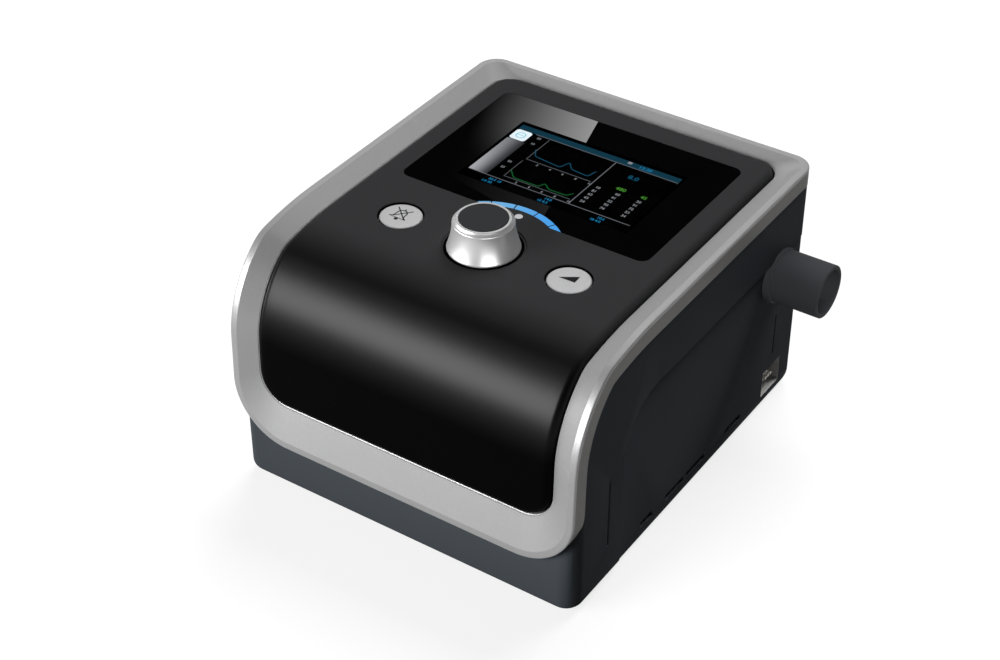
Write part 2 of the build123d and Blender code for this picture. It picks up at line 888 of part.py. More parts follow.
def knob():
    """Turned knob: a foot, a hollow flank, a rounded top edge and a hub inside."""
    waist_z = knob_top_z - knob_waist_drop
    foot_z = knob_floor_z + knob_foot
    edge = knob_edge_r * (1 - sin(radians(45)))
    with BuildSketch(Plane.XZ) as half:
        with BuildLine():
            Polyline((0, knob_top_z), (0, knob_floor_z), (knob_base_r, knob_floor_z), (knob_base_r, foot_z))
            flank = ((knob_base_r + knob_waist_r) / 2 - knob_hollow, (foot_z + waist_z) / 2 - knob_hollow)
            ThreePointArc((knob_base_r, foot_z), flank, (knob_waist_r, waist_z))
            Line((knob_waist_r, waist_z), (knob_top_r, knob_top_z - knob_edge_r))
            ThreePointArc(
                (knob_top_r, knob_top_z - knob_edge_r),
                (knob_top_r - edge, knob_top_z - edge),
                (knob_top_r - knob_edge_r, knob_top_z),
            )
            Line((knob_top_r - knob_edge_r, knob_top_z), (0, knob_top_z))
        make_face()
    turned = revolve(half.sketch, axis=Axis.Z)
    plate_z = knob_top_z - cap_recess - knob_wall
    cavity = post(0, 0, (knob_floor_z, plate_z), knob_top_r - knob_wall)
    hub = post(0, 0, (hub_bottom_z, plate_z), hub_r)
    turned = turned - (cavity - hub)
    turned -= post(0, 0, (knob_top_z - cap_recess, deep), cap_r + cap_fit)
    turned -= post(0, 0, (hub_bottom_z, hub_bottom_z + shaft_engagement), shaft_r)
    return Pos(0, knob_y, 0) * turned


def knob_cap():
    return post(0, knob_y, (knob_top_z - cap_recess, knob_top_z + cap_proud), cap_r)


def encoder_shaft():
    bottom_z = sleeve_bottom_z + sleeve_wall + running_fit
    return post(0, knob_y, (bottom_z, hub_bottom_z + shaft_engagement), shaft_r)


def encoder_sleeve():
    """Cup that the shaft turns in and that slides down when the knob is pressed."""
    cup = post(0, knob_y, (sleeve_bottom_z, bushing_top_z), sleeve_r)
    return cup - post(0, knob_y, (sleeve_bottom_z + sleeve_wall, deep), shaft_r + running_fit)


def encoder_body():
    half = encoder_size / 2
    body = block((-half, half), (knob_y - half, knob_y + half), (control_board_top_z, encoder_top_z))
    body += post(0, knob_y, (encoder_top_z, bushing_top_z), bushing_r)
    return body - post(0, knob_y, (control_board_top_z + encoder_floor, deep), sleeve_r + running_fit)


def button(x):
    """Round button with a flange under the panel and a stem over its switch."""
    flange_top_z = panel_underside_z - rest_gap
    cap = post(x, button_y, (flange_top_z - button_flange, button_top_z), button_r)
    cap = fillet(cap.edges().group_by(Axis.Z)[-1], button_edge_r)
    cap += post(x, button_y, (flange_top_z - button_flange, flange_top_z), button_flange_r)
    return cap + post(x, button_y, (switch_top_z + button_travel + stem_gap, flange_top_z), stem_r)


def mute_button():
    return button(-button_x)


def ramp_button():
    return button(button_x)


def button_switches():
    half = switch_size / 2
    body_z = (control_board_top_z, control_board_top_z + switch_height)
    switches = []
    for x in (-button_x, button_x):
        body = block((x - half, x + half), (button_y - half, button_y + half), body_z)
        switches.append(body + post(x, button_y, (body_z[1], switch_top_z), stem_r))
    return Compound(children=switches)


def control_board():
    board = block(
        (-control_board_half_width, control_board_half_width),
        (control_board_front_y, control_board_rear_y),
        (control_board_bottom_z, control_board_top_z),
    )
    for x, y in control_board_places:
        board -= post(x, y, (0, deep), screw_r + screw_gap)
    return board


def control_board_screws():
    places = control_board_places
    return Compound(children=[screw(x, y, control_board_bottom_z, control_screw_tip_z) for x, y in places])


def main_board():
    board = block(main_board_x, main_board_y, (main_board_z, main_board_top_z))
    for x, y in main_board_places:
        board -= post(x, y, (0, deep), screw_r + screw_gap)
    return board


def main_board_screws():
    tip_z = main_board_top_z - board_screw_length
    return Compound(children=[screw(x, y, main_board_top_z, tip_z) for x, y in main_board_places])


def on_board(x, y, size, height):
    return block(
        (x - size / 2, x + size / 2),
        (y - size / 2, y + size / 2),
        (main_board_top_z, main_board_top_z + height),
    )


def main_board_parts():
    """Chips, capacitors, the pressure sensor and the plugs of the leads."""
    parts = [on_board(sensor_x, sensor_y, sensor_size, sensor_height)]
    parts += [on_board(x, y, size, chip_height) for x, y, size in chips]
    for number in range(capacitor_count):
        x = capacitor_x + number * capacitor_pitch
        top_z = main_board_top_z + capacitor_height
        parts.append(post(x, capacitor_y, (main_board_top_z, top_z), capacitor_r))
    for x, y in (speaker_plug, power_plug, (blower_x, motor_plug_y)):
        parts.append(on_board(x, y, lead_plug, lead_plug_height))
    return Compound(children=parts)


def card_socket():
    """Tray on the main board, open towards the left side."""
    wall = card_fit + card_socket_wall
    x = (main_board_x[0], card_x + card_length + wall)
    tray = block(
        x,
        (card_y - card_width / 2 - wall, card_y + card_width / 2 + wall),
        (main_board_top_z, card_bottom_z + card_thickness + wall),
    )
    return tray - card_box((-deep, card_x + card_length + card_fit), card_fit)


def memory_card():
    card = card_box((card_x, card_x + card_length), 0)
    corners = card.edges().filter_by(Axis.Z)
    card = fillet(corners.group_by(Axis.X)[0], card_corner_r)
    return chamfer(card.edges().filter_by(Axis.Z).group_by(Axis.X)[-1].sort_by(Axis.Y)[0], card_chamfer)


def ribbon_cable():
    """Flat cable between the two boards, with a plug at each end."""
    cable_half = cable_width / 2
    plug_half = plug_block / 2
    strip = block(
        (cable_x - cable_half, cable_x + cable_half),
        (cable_y - cable_thickness / 2, cable_y + cable_thickness / 2),
        (main_board_top_z, control_board_bottom_z),
    )
    for z in (
        (main_board_top_z, main_board_top_z + plug_block),
        (control_board_bottom_z - plug_block, control_board_bottom_z),
    ):
        strip += block(
            (cable_x - cable_half - plug_half, cable_x + cable_half + plug_half),
            (cable_y - plug_half, cable_y + plug_half),
            z,
        )
    return strip


def alarm_speaker():
    body = post(speaker_x, speaker_y, (case_floor_z, case_floor_z + speaker_height), speaker_r)
    magnet_z = (case_floor_z + speaker_height, case_floor_z + speaker_height + speaker_magnet_height)
    body += post(speaker_x, speaker_y, magnet_z, speaker_magnet_r)
    cone_top_z = case_floor_z + speaker_height - speaker_wall
    return body - post(speaker_x, speaker_y, (case_floor_z, cone_top_z), speaker_r - speaker_wall)


def round_lead(points, radius, bend_r):
    """Round lead along straight runs joined by arcs."""
    path = FilletPolyline(*points, radius=bend_r)
    start = Vector(*points[0])
    heading = Vector(*points[1]) - start
    section = Plane(origin=start, z_dir=heading) * Circle(radius)
    return sweep(section, path=path)


def speaker_lead():
    plug_x, plug_y = speaker_plug
    start_z = case_floor_z + speaker_height
    start_x = speaker_x - (speaker_r + speaker_magnet_r) / 2
    points = (
        (start_x, plug_y, start_z),
        (start_x, plug_y, lead_level_z),
        (plug_x, plug_y, lead_level_z),
        (plug_x, plug_y, lead_plug_top_z),
    )
    return round_lead(points, lead_r, lead_bend_r)


def power_lead():
    plug_x, plug_y = power_plug
    points = (
        (dc_x, inner_rear_y - dc_depth, dc_z),
        (dc_x, plug_y, dc_z),
        (plug_x, plug_y, dc_z),
        (plug_x, plug_y, lead_plug_top_z),
    )
    return round_lead(points, lead_r, lead_bend_r)


def motor_lead():
    top_z = motor_flange_top_z + motor_lead_rise
    points = (
        (blower_x, blower_y - motor_can_r, top_z),
        (blower_x, motor_plug_y, top_z),
        (blower_x, motor_plug_y, lead_plug_top_z),
    )
    return round_lead(points, lead_r, lead_bend_r)


def muffler_box():
    """Tray under the blower, open to the filter at the rear."""
    x0, x1 = silencer_x
    tray = block(silencer_x, (silencer_front_y, silencer_rear_y), (case_floor_z, silencer_top_z))
    tray -= block(
        (x0 + silencer_wall, x1 - silencer_wall),
        (silencer_front_y + silencer_wall, silencer_rear_y - silencer_wall),
        (case_floor_z + silencer_wall, deep),
    )
    return tray - filter_box(-filter_ledge, (silencer_rear_y - 2 * silencer_wall, deep))


def muffler_foam():
    """Foam with a channel from the filter to under the blower."""
    inset = silencer_wall + foam_gap
    x0, x1 = silencer_x
    bottom_z = case_floor_z + silencer_wall
    foam = block(
        (x0 + inset, x1 - inset),
        (silencer_front_y + inset, silencer_rear_y - inset),
        (bottom_z, bottom_z + foam_height),
    )
    half = foam_channel / 2
    z = (bottom_z + silencer_wall, deep)
    foam -= block((filter_x - half, filter_x + half), (blower_y - half, deep), z)
    return foam - block((filter_x - half, blower_x + half), (blower_y - half, blower_y + half), z)


def muffler_lid():
    lid = block(silencer_x, (silencer_front_y, silencer_rear_y), (silencer_top_z, lid_top_z))
    return lid - post(blower_x, blower_y, (0, deep), inlet_r)


def inlet_gasket():
    ring = post(blower_x, blower_y, (lid_top_z, scroll_bottom_z), inlet_r + gasket_width)
    return ring - post(blower_x, blower_y, (0, deep), inlet_r)


def blower_bushes():
    """Rubber bushes under the ears, each with a collar through its ear."""
    bushes = [post(x, y, (lid_top_z, scroll_bottom_z), bush_r) for x, y in ear_places]
    for number, (x, y) in enumerate(ear_places):
        top_z = scroll_bottom_z + ear_thickness
        bushes[number] += post(x, y, (scroll_bottom_z, top_z), bush_neck_r)
        bushes[number] += post(x, y, (top_z, top_z + bush_head), bush_r)
    return Compound(children=bushes)


def scroll_plan(grow, z):
    """Scroll seen from above: four arcs of growing radius and a straight throat."""
    points = []
    for eighth in range(9):
        turn = radians(90 - 45 * eighth)
        radius = scroll_start_r + scroll_step * eighth / 2 + grow
        points.append((radius * cos(turn), radius * sin(turn)))
    with BuildSketch(Plane.XY.offset(z[0])) as plan:
        with BuildLine():
            for number in range(0, 8, 2):
                ThreePointArc(*points[number:number + 3])
            Line(points[8], points[0])
        make_face()
        throat_y = outlet_y - blower_y
        half = neck_bore_r + grow
        with Locations(((neck_start_x + grow - blower_x) / 2, throat_y)):
            Rectangle(neck_start_x + grow - blower_x, 2 * half)
    return Pos(blower_x, blower_y, 0) * extrude(plan.sketch, amount=z[1] - z[0])


def volute():
    """Whole scroll housing before it is parted at the height of the outlet."""
    shell = scroll_plan(scroll_wall, (scroll_bottom_z, scroll_top_z))
    shell += along_x((neck_start_x, neck_end_x), outlet_y, outlet_z, neck_outer_r)
    for x, y in ear_places:
        shell += post(x, y, (scroll_bottom_z, scroll_bottom_z + ear_thickness), ear_r)
    for x, y in seam_places:
        shell += post(x, y, (outlet_z - seam_ear, outlet_z + seam_ear), ear_r)
    shell -= scroll_plan(0, (scroll_bottom_z + scroll_wall, scroll_top_z - scroll_wall))
    shell -= along_x((neck_start_x - 1, neck_end_x), outlet_y, outlet_z, neck_bore_r)
    shell -= post(blower_x, blower_y, (0, scroll_bottom_z + scroll_wall), inlet_r)
    shell -= post(blower_x, blower_y, (outlet_z, deep), motor_can_r + hole_fit)
    for x, y in ear_places:
        shell -= post(x, y, (0, scroll_bottom_z + ear_thickness), bush_neck_r + bush_bore_gap)
    for x, y in seam_places:
        shell -= post(x, y, (outlet_z, outlet_z + seam_ear), screw_r + screw_gap)
        shell -= pilot(x, y, (outlet_z - seam_ear, outlet_z))
    for x, y in motor_screw_places:
        shell -= pilot(x, y, (scroll_top_z - scroll_wall, scroll_top_z))
    return shell


def volute_lower():
    return volute() & block((-deep, deep), (-deep, deep), (0, outlet_z))


def volute_upper():
    return volute() & block((-deep, deep), (-deep, deep), (outlet_z, deep))


def volute_screws():
    head_z = outlet_z + seam_ear
    return Compound(children=[screw(x, y, head_z, outlet_z - seam_ear) for x, y in seam_places])


def impeller():
    """Backward-leaning blades under a plate, with a hub on the motor shaft."""
    top_z = wheel_z + wheel_height
    wheel = post(0, 0, (top_z - wheel_plate, top_z), wheel_r)
    wheel += post(0, 0, (wheel_z, top_z), wheel_hub_r)
    reach = wheel_r - wheel_eye_r
    for number in range(wheel_blades):
        blade = block((-reach / 2, reach / 2), (-wheel_blade / 2, wheel_blade / 2), (wheel_z, top_z))
        blade = Pos((wheel_r + wheel_eye_r) / 2 - wheel_blade, 0, 0) * Rot(0, 0, wheel_blade_lean) * blade
        wheel += Rot(0, 0, 360 * number / wheel_blades) * blade
    wheel -= post(0, 0, (wheel_z, top_z), motor_shaft_r)
    return Pos(blower_x, blower_y, 0) * wheel


def motor_shaft():
    return post(blower_x, blower_y, (wheel_z, upper_bearing_z + bearing_height), motor_shaft_r)


def rotor_magnet():
    magnet = post(blower_x, blower_y, stator_z, magnet_r)
    return magnet - post(blower_x, blower_y, stator_z, motor_shaft_r)


def motor_stator():
    ring = post(0, 0, stator_z, motor_can_r - motor_can_wall)
    ring -= post(0, 0, stator_z, magnet_r + air_gap)
    slot_end = motor_can_r - 2 * motor_can_wall
    for number in range(stator_teeth):
        slot = block((0, slot_end), (-stator_slot / 2, stator_slot / 2), stator_z)
        ring -= Rot(0, 0, 360 * number / stator_teeth) * slot
    return Pos(blower_x, blower_y, 0) * ring


def motor_bearings():
    rings = []
    for z in (lower_bearing_z, upper_bearing_z):
        ring = post(blower_x, blower_y, (z, z + bearing_height), bearing_r)
        rings.append(ring - post(blower_x, blower_y, (z, z + bearing_height), motor_shaft_r + running_fit))
    return Compound(children=rings)


def motor_can():
    """Cup with a flange on the scroll, a seat for the lower bearing and a hole for the shaft."""
    can = post(0, 0, (can_z, can_top_z), motor_can_r)
    can += post(0, 0, (scroll_top_z, motor_flange_top_z), motor_can_r + motor_flange)
    for turn in motor_screw_turns:
        lug = post(motor_screw_reach, 0, (scroll_top_z, motor_flange_top_z), screw_head_r + motor_can_wall)
        can += Rot(0, 0, turn) * lug
    can -= post(0, 0, (can_z + motor_can_wall, deep), motor_can_r - motor_can_wall)
    seat_z = (can_z, lower_bearing_z + bearing_height)
    can += post(0, 0, seat_z, bearing_r + seat_wall)
    can -= post(0, 0, (lower_bearing_z, deep), bearing_r)
    can -= post(0, 0, (0, deep), motor_shaft_r + shaft_hole_gap)
    for turn in motor_screw_turns:
        hole = post(motor_screw_reach, 0, (scroll_top_z, motor_flange_top_z), screw_r + screw_gap)
        can -= Rot(0, 0, turn) * hole
    return Pos(blower_x, blower_y, 0) * can


def motor_cap():
    cap = post(blower_x, blower_y, (can_top_z, can_top_z + motor_can_wall), motor_can_r)
    cap += post(blower_x, blower_y, (upper_bearing_z, can_top_z), bearing_r + seat_wall)
    return cap - post(blower_x, blower_y, (upper_bearing_z, upper_bearing_z + bearing_height), bearing_r)


def motor_screws():
    tip_z = scroll_top_z - scroll_wall
    return Compound(children=[screw(x, y, motor_flange_top_z, tip_z) for x, y in motor_screw_places])


def outlet_coupling():
    """Soft sleeve from the blower's neck to the outlet, with rings round its free length."""
    x = (neck_end_x - coupling_grip, spigot_end_x + coupling_grip)
    sleeve = along_x(x, outlet_y, outlet_z, neck_outer_r + coupling_wall)
    free = spigot_end_x - neck_end_x
    pitch = free / coupling_rings
    for number in range(coupling_rings):
        middle = neck_end_x + (number + 0.5) * pitch
        ring = (middle - pitch / 4, middle + pitch / 4)
        sleeve += along_x(ring, outlet_y, outlet_z, neck_outer_r + 2 * coupling_wall)
    return sleeve - along_x(x, outlet_y, outlet_z, neck_outer_r)


def outlet_port():
    """Tapered-tube outlet with a flange inside the wall and a spigot for the coupling."""
    port = along_x((spigot_end_x, outlet_flange_x), outlet_y, outlet_z, neck_outer_r)
    port += along_x((outlet_flange_x, outlet_flange_x + outlet_flange), outlet_y, outlet_z, outlet_flange_r)
    root_x = dock_face_x + outlet_root_length
    port += along_x((outlet_flange_x, root_x), outlet_y, outlet_z, outlet_root_r)
    tube = along_x((root_x, outlet_end_x), outlet_y, outlet_z, outlet_r)
    port += chamfer(tube.edges().group_by(Axis.X)[-1], outlet_chamfer)
    port -= along_x((outlet_flange_x, outlet_end_x), outlet_y, outlet_z, outlet_bore_r)
    return port - along_x((spigot_end_x, outlet_flange_x), outlet_y, outlet_z, neck_bore_r)


def outlet_seal():
    x = (outlet_flange_x + outlet_flange, dock_inner_x)
    ring = along_x(x, outlet_y, outlet_z, outlet_flange_r)
    return ring - along_x(x, outlet_y, outlet_z, outlet_root_r + hole_fit)


def pressure_tube():
    """Sensing tube from the blower's neck to the sensor on the main board."""
    level_z = main_board_top_z + sensor_height / 2
    points = (
        (tube_x, outlet_y, outlet_z - neck_outer_r),
        (tube_x, outlet_y, level_z),
        (tube_x, sensor_y, level_z),
        (sensor_x + sensor_size / 2, sensor_y, level_z),
    )
    return round_lead(points, tube_r, tube_bend_r) - round_lead(points, tube_bore_r, tube_bend_r)


def air_filter():
    return filter_box(0, (silencer_rear_y + filter_frame + cover_fit, inner_rear_y + cover_fit))


def filter_cover():
    """Flush cover with upright slots that the room air passes through."""
    cover = cover_box(0, (inner_rear_y + cover_fit, case_rear_y))
    cover = fillet(cover.edges().filter_by(Axis.Y), cover_corner_r)
    span = filter_width - 2 * grille_margin
    pitch = span / grille_slots
    height = filter_height - 2 * grille_margin
    for number in range(grille_slots):
        x = filter_x - span / 2 + (number + 0.5) * pitch
        cover -= rear_box(x, filter_z, grille_slot, height, (inner_rear_y, deep))
    return cover


def dc_inlet():
    front_y = inner_rear_y - dc_depth
    body = rear_box(dc_x, dc_z, dc_body, dc_body, (front_y, inner_rear_y))
    body += along_y(dc_x, (inner_rear_y, case_rear_y), dc_z, dc_hole_r - hole_fit)
    return body - along_y(dc_x, (front_y + dc_floor, deep), dc_z, dc_bore_r)


def dc_pin():
    y = (inner_rear_y - dc_depth + dc_floor, case_rear_y - dc_pin_sink)
    return along_y(dc_x, y, dc_z, dc_pin_r)


def comm_socket():
    back_y = inner_rear_y - comm_depth
    socket = comm_box(-hole_fit, (back_y, case_rear_y - plug_recess))
    socket += comm_box(comm_flange, (inner_rear_y - comm_flange, inner_rear_y))
    return socket - comm_box(-hole_fit - comm_wall, (back_y + comm_wall, deep))


def port_plug():
    """Soft plug with a plate that lies flush in the rear wall."""
    plate_y = case_rear_y - plug_recess + plug_fit
    plug = comm_box(plug_margin, (plate_y, plate_y + plug_plate))
    stub = -hole_fit - comm_wall - plug_fit
    return plug + comm_box(stub, (plate_y - plug_reach, plate_y))


def dock_socket():
    return block(
        (dock_face_x - pocket_depth, dock_face_x - pocket_depth + socket_depth),
        (pocket_middle_y - socket_length / 2, pocket_middle_y + socket_length / 2),
        (pocket_middle_z - socket_height / 2, pocket_middle_z + socket_height / 2),
    )


def dock_contacts():
    start_x = dock_face_x - pocket_depth + socket_depth
    pitch = socket_length / contact_count
    pins = []
    for number in range(contact_count):
        y = pocket_middle_y + (number - (contact_count - 1) / 2) * pitch
        pins.append(along_x((start_x, start_x + contact_length), y, pocket_middle_z, contact_r))
    return Compound(children=pins)


def case_screws():
    head_z = post_top_z - post_roof
    return Compound(children=[screw(x, y, head_z, head_z + case_screw_length) for x, y in case_post_places])


pieces = (
    main_housing, bezel_frame, front_panel, screen_lens, display_mask, lcd_panel, lcd_holder,
    light_arc, indicator_lens, knob, knob_cap, encoder_shaft, encoder_sleeve, encoder_body,
    mute_button, ramp_button, button_switches, control_board, control_board_screws, main_board,
    main_board_parts, main_board_screws, card_socket, memory_card, ribbon_cable, alarm_speaker,
    speaker_lead, power_lead, motor_lead, muffler_box, muffler_foam, muffler_lid, inlet_gasket,
    blower_bushes, volute_lower, volute_upper, volute_screws, impeller, motor_shaft,
    rotor_magnet, motor_stator, motor_bearings, motor_can, motor_cap, motor_screws,
    outlet_coupling, outlet_port, outlet_seal, pressure_tube, air_filter, filter_cover,
    dc_inlet, dc_pin, comm_socket, port_plug, dock_socket, dock_contacts, feet, case_screws,
)
for piece in pieces:
    save(piece.__name__, piece())
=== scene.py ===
"""Looks of the bedside breathing machine: its surfaces, finishes, display, lamps and camera.

Lengths written here are millimetres, measured from the middle plane of the casing, as on a
workshop drawing. place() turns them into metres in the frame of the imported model.
"""
import json
from contextlib import contextmanager
from math import acos, cos, degrees, pi, radians, sin

import bmesh
import bpy
import numpy as np
from mathutils import Matrix, Vector


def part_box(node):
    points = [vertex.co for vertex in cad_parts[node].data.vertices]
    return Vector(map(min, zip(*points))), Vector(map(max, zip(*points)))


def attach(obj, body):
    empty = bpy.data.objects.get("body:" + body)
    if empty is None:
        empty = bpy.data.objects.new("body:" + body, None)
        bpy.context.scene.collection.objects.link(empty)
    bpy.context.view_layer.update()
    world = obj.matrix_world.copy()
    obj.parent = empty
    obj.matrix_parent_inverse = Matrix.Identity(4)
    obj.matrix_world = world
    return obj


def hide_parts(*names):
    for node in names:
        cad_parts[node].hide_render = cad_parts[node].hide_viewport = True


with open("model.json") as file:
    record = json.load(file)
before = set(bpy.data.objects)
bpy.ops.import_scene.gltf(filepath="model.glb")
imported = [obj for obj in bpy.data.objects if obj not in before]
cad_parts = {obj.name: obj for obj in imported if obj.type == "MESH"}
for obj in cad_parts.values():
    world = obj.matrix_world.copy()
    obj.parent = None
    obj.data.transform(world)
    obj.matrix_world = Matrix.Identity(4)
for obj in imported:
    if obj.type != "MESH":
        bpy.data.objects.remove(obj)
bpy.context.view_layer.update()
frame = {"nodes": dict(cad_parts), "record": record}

MM = 0.001
CASE_REAR_REACH = 90.0
frame_low, frame_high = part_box("bezel_frame")
MIDDLE = np.array([(frame_low.x + frame_high.x) / 2, frame_high.y - CASE_REAR_REACH * MM, 0.0])

# Side profile of the crown: a flat top, three tangent arcs and a front that leans out
CROWN_TOP = 108.3
CROWN_START_Y = -35.8
CROWN_RADII = (150.0, 16.0, 46.0)
CROWN_TURNS = (11.0, 38.0, 88.0)

# Silver frame
FRAME_HALF_WIDTH = 78.0
FRAME_REAR_Y = 90.0
FRAME_BOTTOM_Z = 24.4
FRAME_REAR_R = 9.0
FRAME_FRONT_R = 25.0
FRAME_BAND = 3.0
FRAME_DROP = 3.6
FRAME_PLATE = 2.0
FRAME_WALL = 2.6
FRAME_SKIRT = 7.8
FRAME_EDGE_R = 0.6
FRAME_LIP = 0.35
FRAME_BAND_INSETS = (1.2, 2.2, 2.85)
FRAME_FACE_SHARES = (0.0, 0.02, 0.2, 0.5, 0.8, 0.95)
OPENING_HALF_WIDTH = 66.9
OPENING_REAR_Y = 83.1
OPENING_BOTTOM_Z = 42.3
OPENING_REAR_R = 10.0
OPENING_FRONT_R = 13.0

# Black front panel: grey on top, darkened to deep black down the front as painted shade, with a clear coat
# over the bend
PANEL_GAP = 0.6
PANEL_SINK = 1.55
PANEL_EDGE_R = 3.0
PANEL_DEPTH = 8.6
PANEL_TOP = CROWN_TOP - PANEL_SINK
# Painted shade: the panel's colour fades from the grey of its top to near black down the front
PANEL_SHADED_FRONT = (0.001, 0.001, 0.0011, 1)
PANEL_TOP_GREY = (0.032, 0.032, 0.0335, 1)
PAINTED_SHADE_Y = (-76.0, -46.0)
COAT_Y = (-58.0, -68.0)
COAT_Z = (68.0, 90.0)
COAT_SHARE = 0.52

# Window and the lit arc beside it
WINDOW_HALF_WIDTH = 56.0
WINDOW_FRONT_Y = -6.8
WINDOW_REAR_Y = 70.0
WINDOW_R = 4.0
LENS_THICKNESS = 1.6
LENS_EDGE = 0.12
CLEAR_OPENING = ((-37.2, 40.2), (5.8, 53.1))
ARC_INNER_R = 27.6
ARC_OUTER_R = 30.4
ARC_GAP = 0.6
ARC_GAP_TURNS = (-28.5, -9.5, 9.5, 28.5)
ARC_LEFT = (104, 165, 213)
ARC_RIGHT = (66, 150, 224)
FIT = 0.1
DOT_Y = -6.7
DOT_R = 1.55

# Knob and keys, with their prints
KNOB_Y = -30.5
KNOB_BASE_R = 14.1
KNOB_WAIST_R = 11.9
KNOB_TOP = 119.3
KNOB_FOOT = 0.7
KNOB_SINK = 0.8
KNOB_HOLE_R = 15.3
KNOB_HOLE_DEPTH = 2.0
KNOB_RING_R = 16.0
KNOB_RING_DEPTH = 0.5
KNOB_BEAD = 0.45
KNOB_SHOULDER_DROP = 1.2
KNOB_FLARE = 1.75
KNOB_FOOT_TURN = 20.0
KNOB_RIM_R = 10.75
KNOB_RIM_EDGE = 0.35
CAP_R = 9.4
CAP_DEPTH = 1.0
CAP_PROUD = 0.2
KEY_X = 38.0
KEY_Y = -31.0
KEY_R = 8.5
KEY_GAP = 0.6
KEY_SINK = 0.5
KEY_EDGE_R = 0.6
KEY_FLANGE_R = 10.0
KEY_FLANGE_TOP = 103.45
KEY_FLANGE = 1.0
KEY_TOP = PANEL_TOP - KEY_SINK
BELL_X = -38.7
BELL_LINE = 0.48
BELL_FOOT = [(3.5, -1.6), (2.2, -0.6)]
BELL_DOME = (0, 1.8)
BELL_DOME_R = 2.0
BELL_STEM = ((0, 3.8), (0, 4.9))
CLAPPER_DROP = 2.4
CLAPPER_R = 0.8
CROSS = ([(-42.3, -26.2), (-35.3, -32.8)], [(-40.9, -32.0), (-35.6, -25.9)])
TRIANGLE = ((33.65, -31.42), (40.59, -31.23), (40.42, -27.08))
PRINT_HEIGHT = 0.03

# Display: rectangles run from left to right and from front to rear, a label is its text, left x,
# base y and height, and a reading is its left x, upper text and lower text
DISPLAY_HALF_WIDTH = 38.0
DISPLAY_FRONT_Y = 4.0
DISPLAY_REAR_Y = 54.3
DISPLAY_TOP = 104.55
SCREEN_Z = DISPLAY_TOP + 0.02
HEADER = (-37.9, 37.4, 50.5, 54.1)
SIDEBAR_X = (-37.9, -29.3)
SIDEBAR_Y = (14.3, 42.2)
TILE = (-37.6, -30.2, 42.6, 50.2)
TILE_R = 1.4
ICON = (-33.9, 46.4)
ICON_R = 2.0
ICON_RING = 0.5
ICON_BAR = 0.4
BATTERY = (13.2, 15.0, 52.0, 53.6)
RULES = ((-29.0, 37.4, 50.15, 50.45), (9.0, 9.4, 14.4, 50.2), (-37.9, 37.0, 14.0, 14.35))
PLOTS = ((-22.0, 8.3, 32.3, 49.5), (-22.6, 8.2, 17.0, 30.5))
PRESSURE = ((-22.8, 40.5), (-20.2, 36), (-7.7, 34.5), (-6.1, 39.8), (-2.9, 35.8), (5.1, 35), (6.1, 39.8))
FLOW = ((-22.7, 22.3), (-18.8, 18), (-7, 18), (-5.9, 21.3), (-2.6, 18.4), (5.6, 18.6), (7.1, 21.3))
PLOT_LINE = 0.2
CURVE_LINE = 0.34
CURVE_BEND = 1.2
CLOCK = ("12:30", 18.5, 51.3, 1.9)
LARGE_NUMBER = ("8.0", 18.6, 42.6, 2.7)
GREEN_NUMBERS = (("480", 18.8, 33.2, 2.1), ("45", 30.2, 33.0, 1.9))
UPPER_SCALE = (("20", -27.2, 47.6, 1.3), ("10", -27.2, 42.8, 1.3))
LOWER_SCALE = (("50", -27.6, 26.6, 1.3), ("25", -27.6, 21.8, 1.3))
TICK_START_X = -16.3
TICK_STEP = 6
TICK_ROWS = (30.2, 14.9)
TICK_HEIGHT = 1.2
TABLE_COLUMNS = (11.8, 20.8, 30.4)
TABLE_TOP = 29.6
TABLE_STEP = 2.9
TABLE_HEIGHT = 1.45
READINGS = ((-28.6, "20.5 15", "1.0 30"), (-2.5, "14.0", "12 8.5"), (21.5, "10.6", "18 4.0"))
READING_ROWS = (11.7, 9.4)
READING_INDENT = 2.0
READING_HEIGHT = 1.35
DIGIT_HEIGHT = 0.7
DIGIT_SWELL = 0.012

# Outlet on the right
OUTLET_Y = 65.9
OUTLET_Z = 67.4
OUTLET_R = 11.15
OUTLET_BORE_R = 9.3
OUTLET_END_X = 99.4
OUTLET_ROOT_R = 11.7
OUTLET_ROOT_EDGE = 0.15
OUTLET_ROOT_X = 79.0
OUTLET_START_X = 60.0
OUTLET_LIP_R = 0.5
OUTLET_BORE_EDGE_R = 0.4

# Casing, and the docking face on its right side with a pocket as ranges of x, y and z
HOUSING_EDGE_R = 0.22
CASE_HALF_WIDTH = 77.5
DOCK_FACE_X = 76.0
LEDGE_START_Y = -56.0
SLOT_DEPTH = 0.9
POCKET = ((68.9, 76.0), (62.5, 78.1), (5.9, 18.5))

# How finely the surfaces are divided
SIDE_STEPS = 190
CORNER_STEPS = 18
END_STEPS = 48
ROUND_STEPS = 128
DISC_STEPS = 32
BEND_STEPS = 6

# Wells in the front panel
ABOVE = 4.0
WELL_DEPTH = 12.0
WINDOW_SINK = 1.9
DISPLAY_BORDER = 2.0
KEY_WELL = 5.0
WELL_RIM = 0.25

# Camera, with its turn and height in degrees
CAMERA_AZIMUTH = 33.7935
CAMERA_HEIGHT = 36.7999
CAMERA_PLACE = (351.111, -544.201, 532.806)
CAMERA_LENS = 72.503

# What the lamps aim at, and the card of light that the window mirrors
AIM = (0.0, 0.0, 70.0)
WINDOW_MIRROR = (-0.4453, 0.6654, 0.5990)
CARD_CORNER = (-312.5, 579.4, 460.4)
CARD_AXES = ((-0.886, -0.2345, -0.3981), (-0.1243, -0.7081, 0.6945))
CARD_SIZE = (82.0, 125.0)
CARD_START = -35.0
CARD_RADIANCE = 9.8
CARD_FALL = 1.5
CARD_STEP = (0.5, 0.85, 1.0, 0.055)

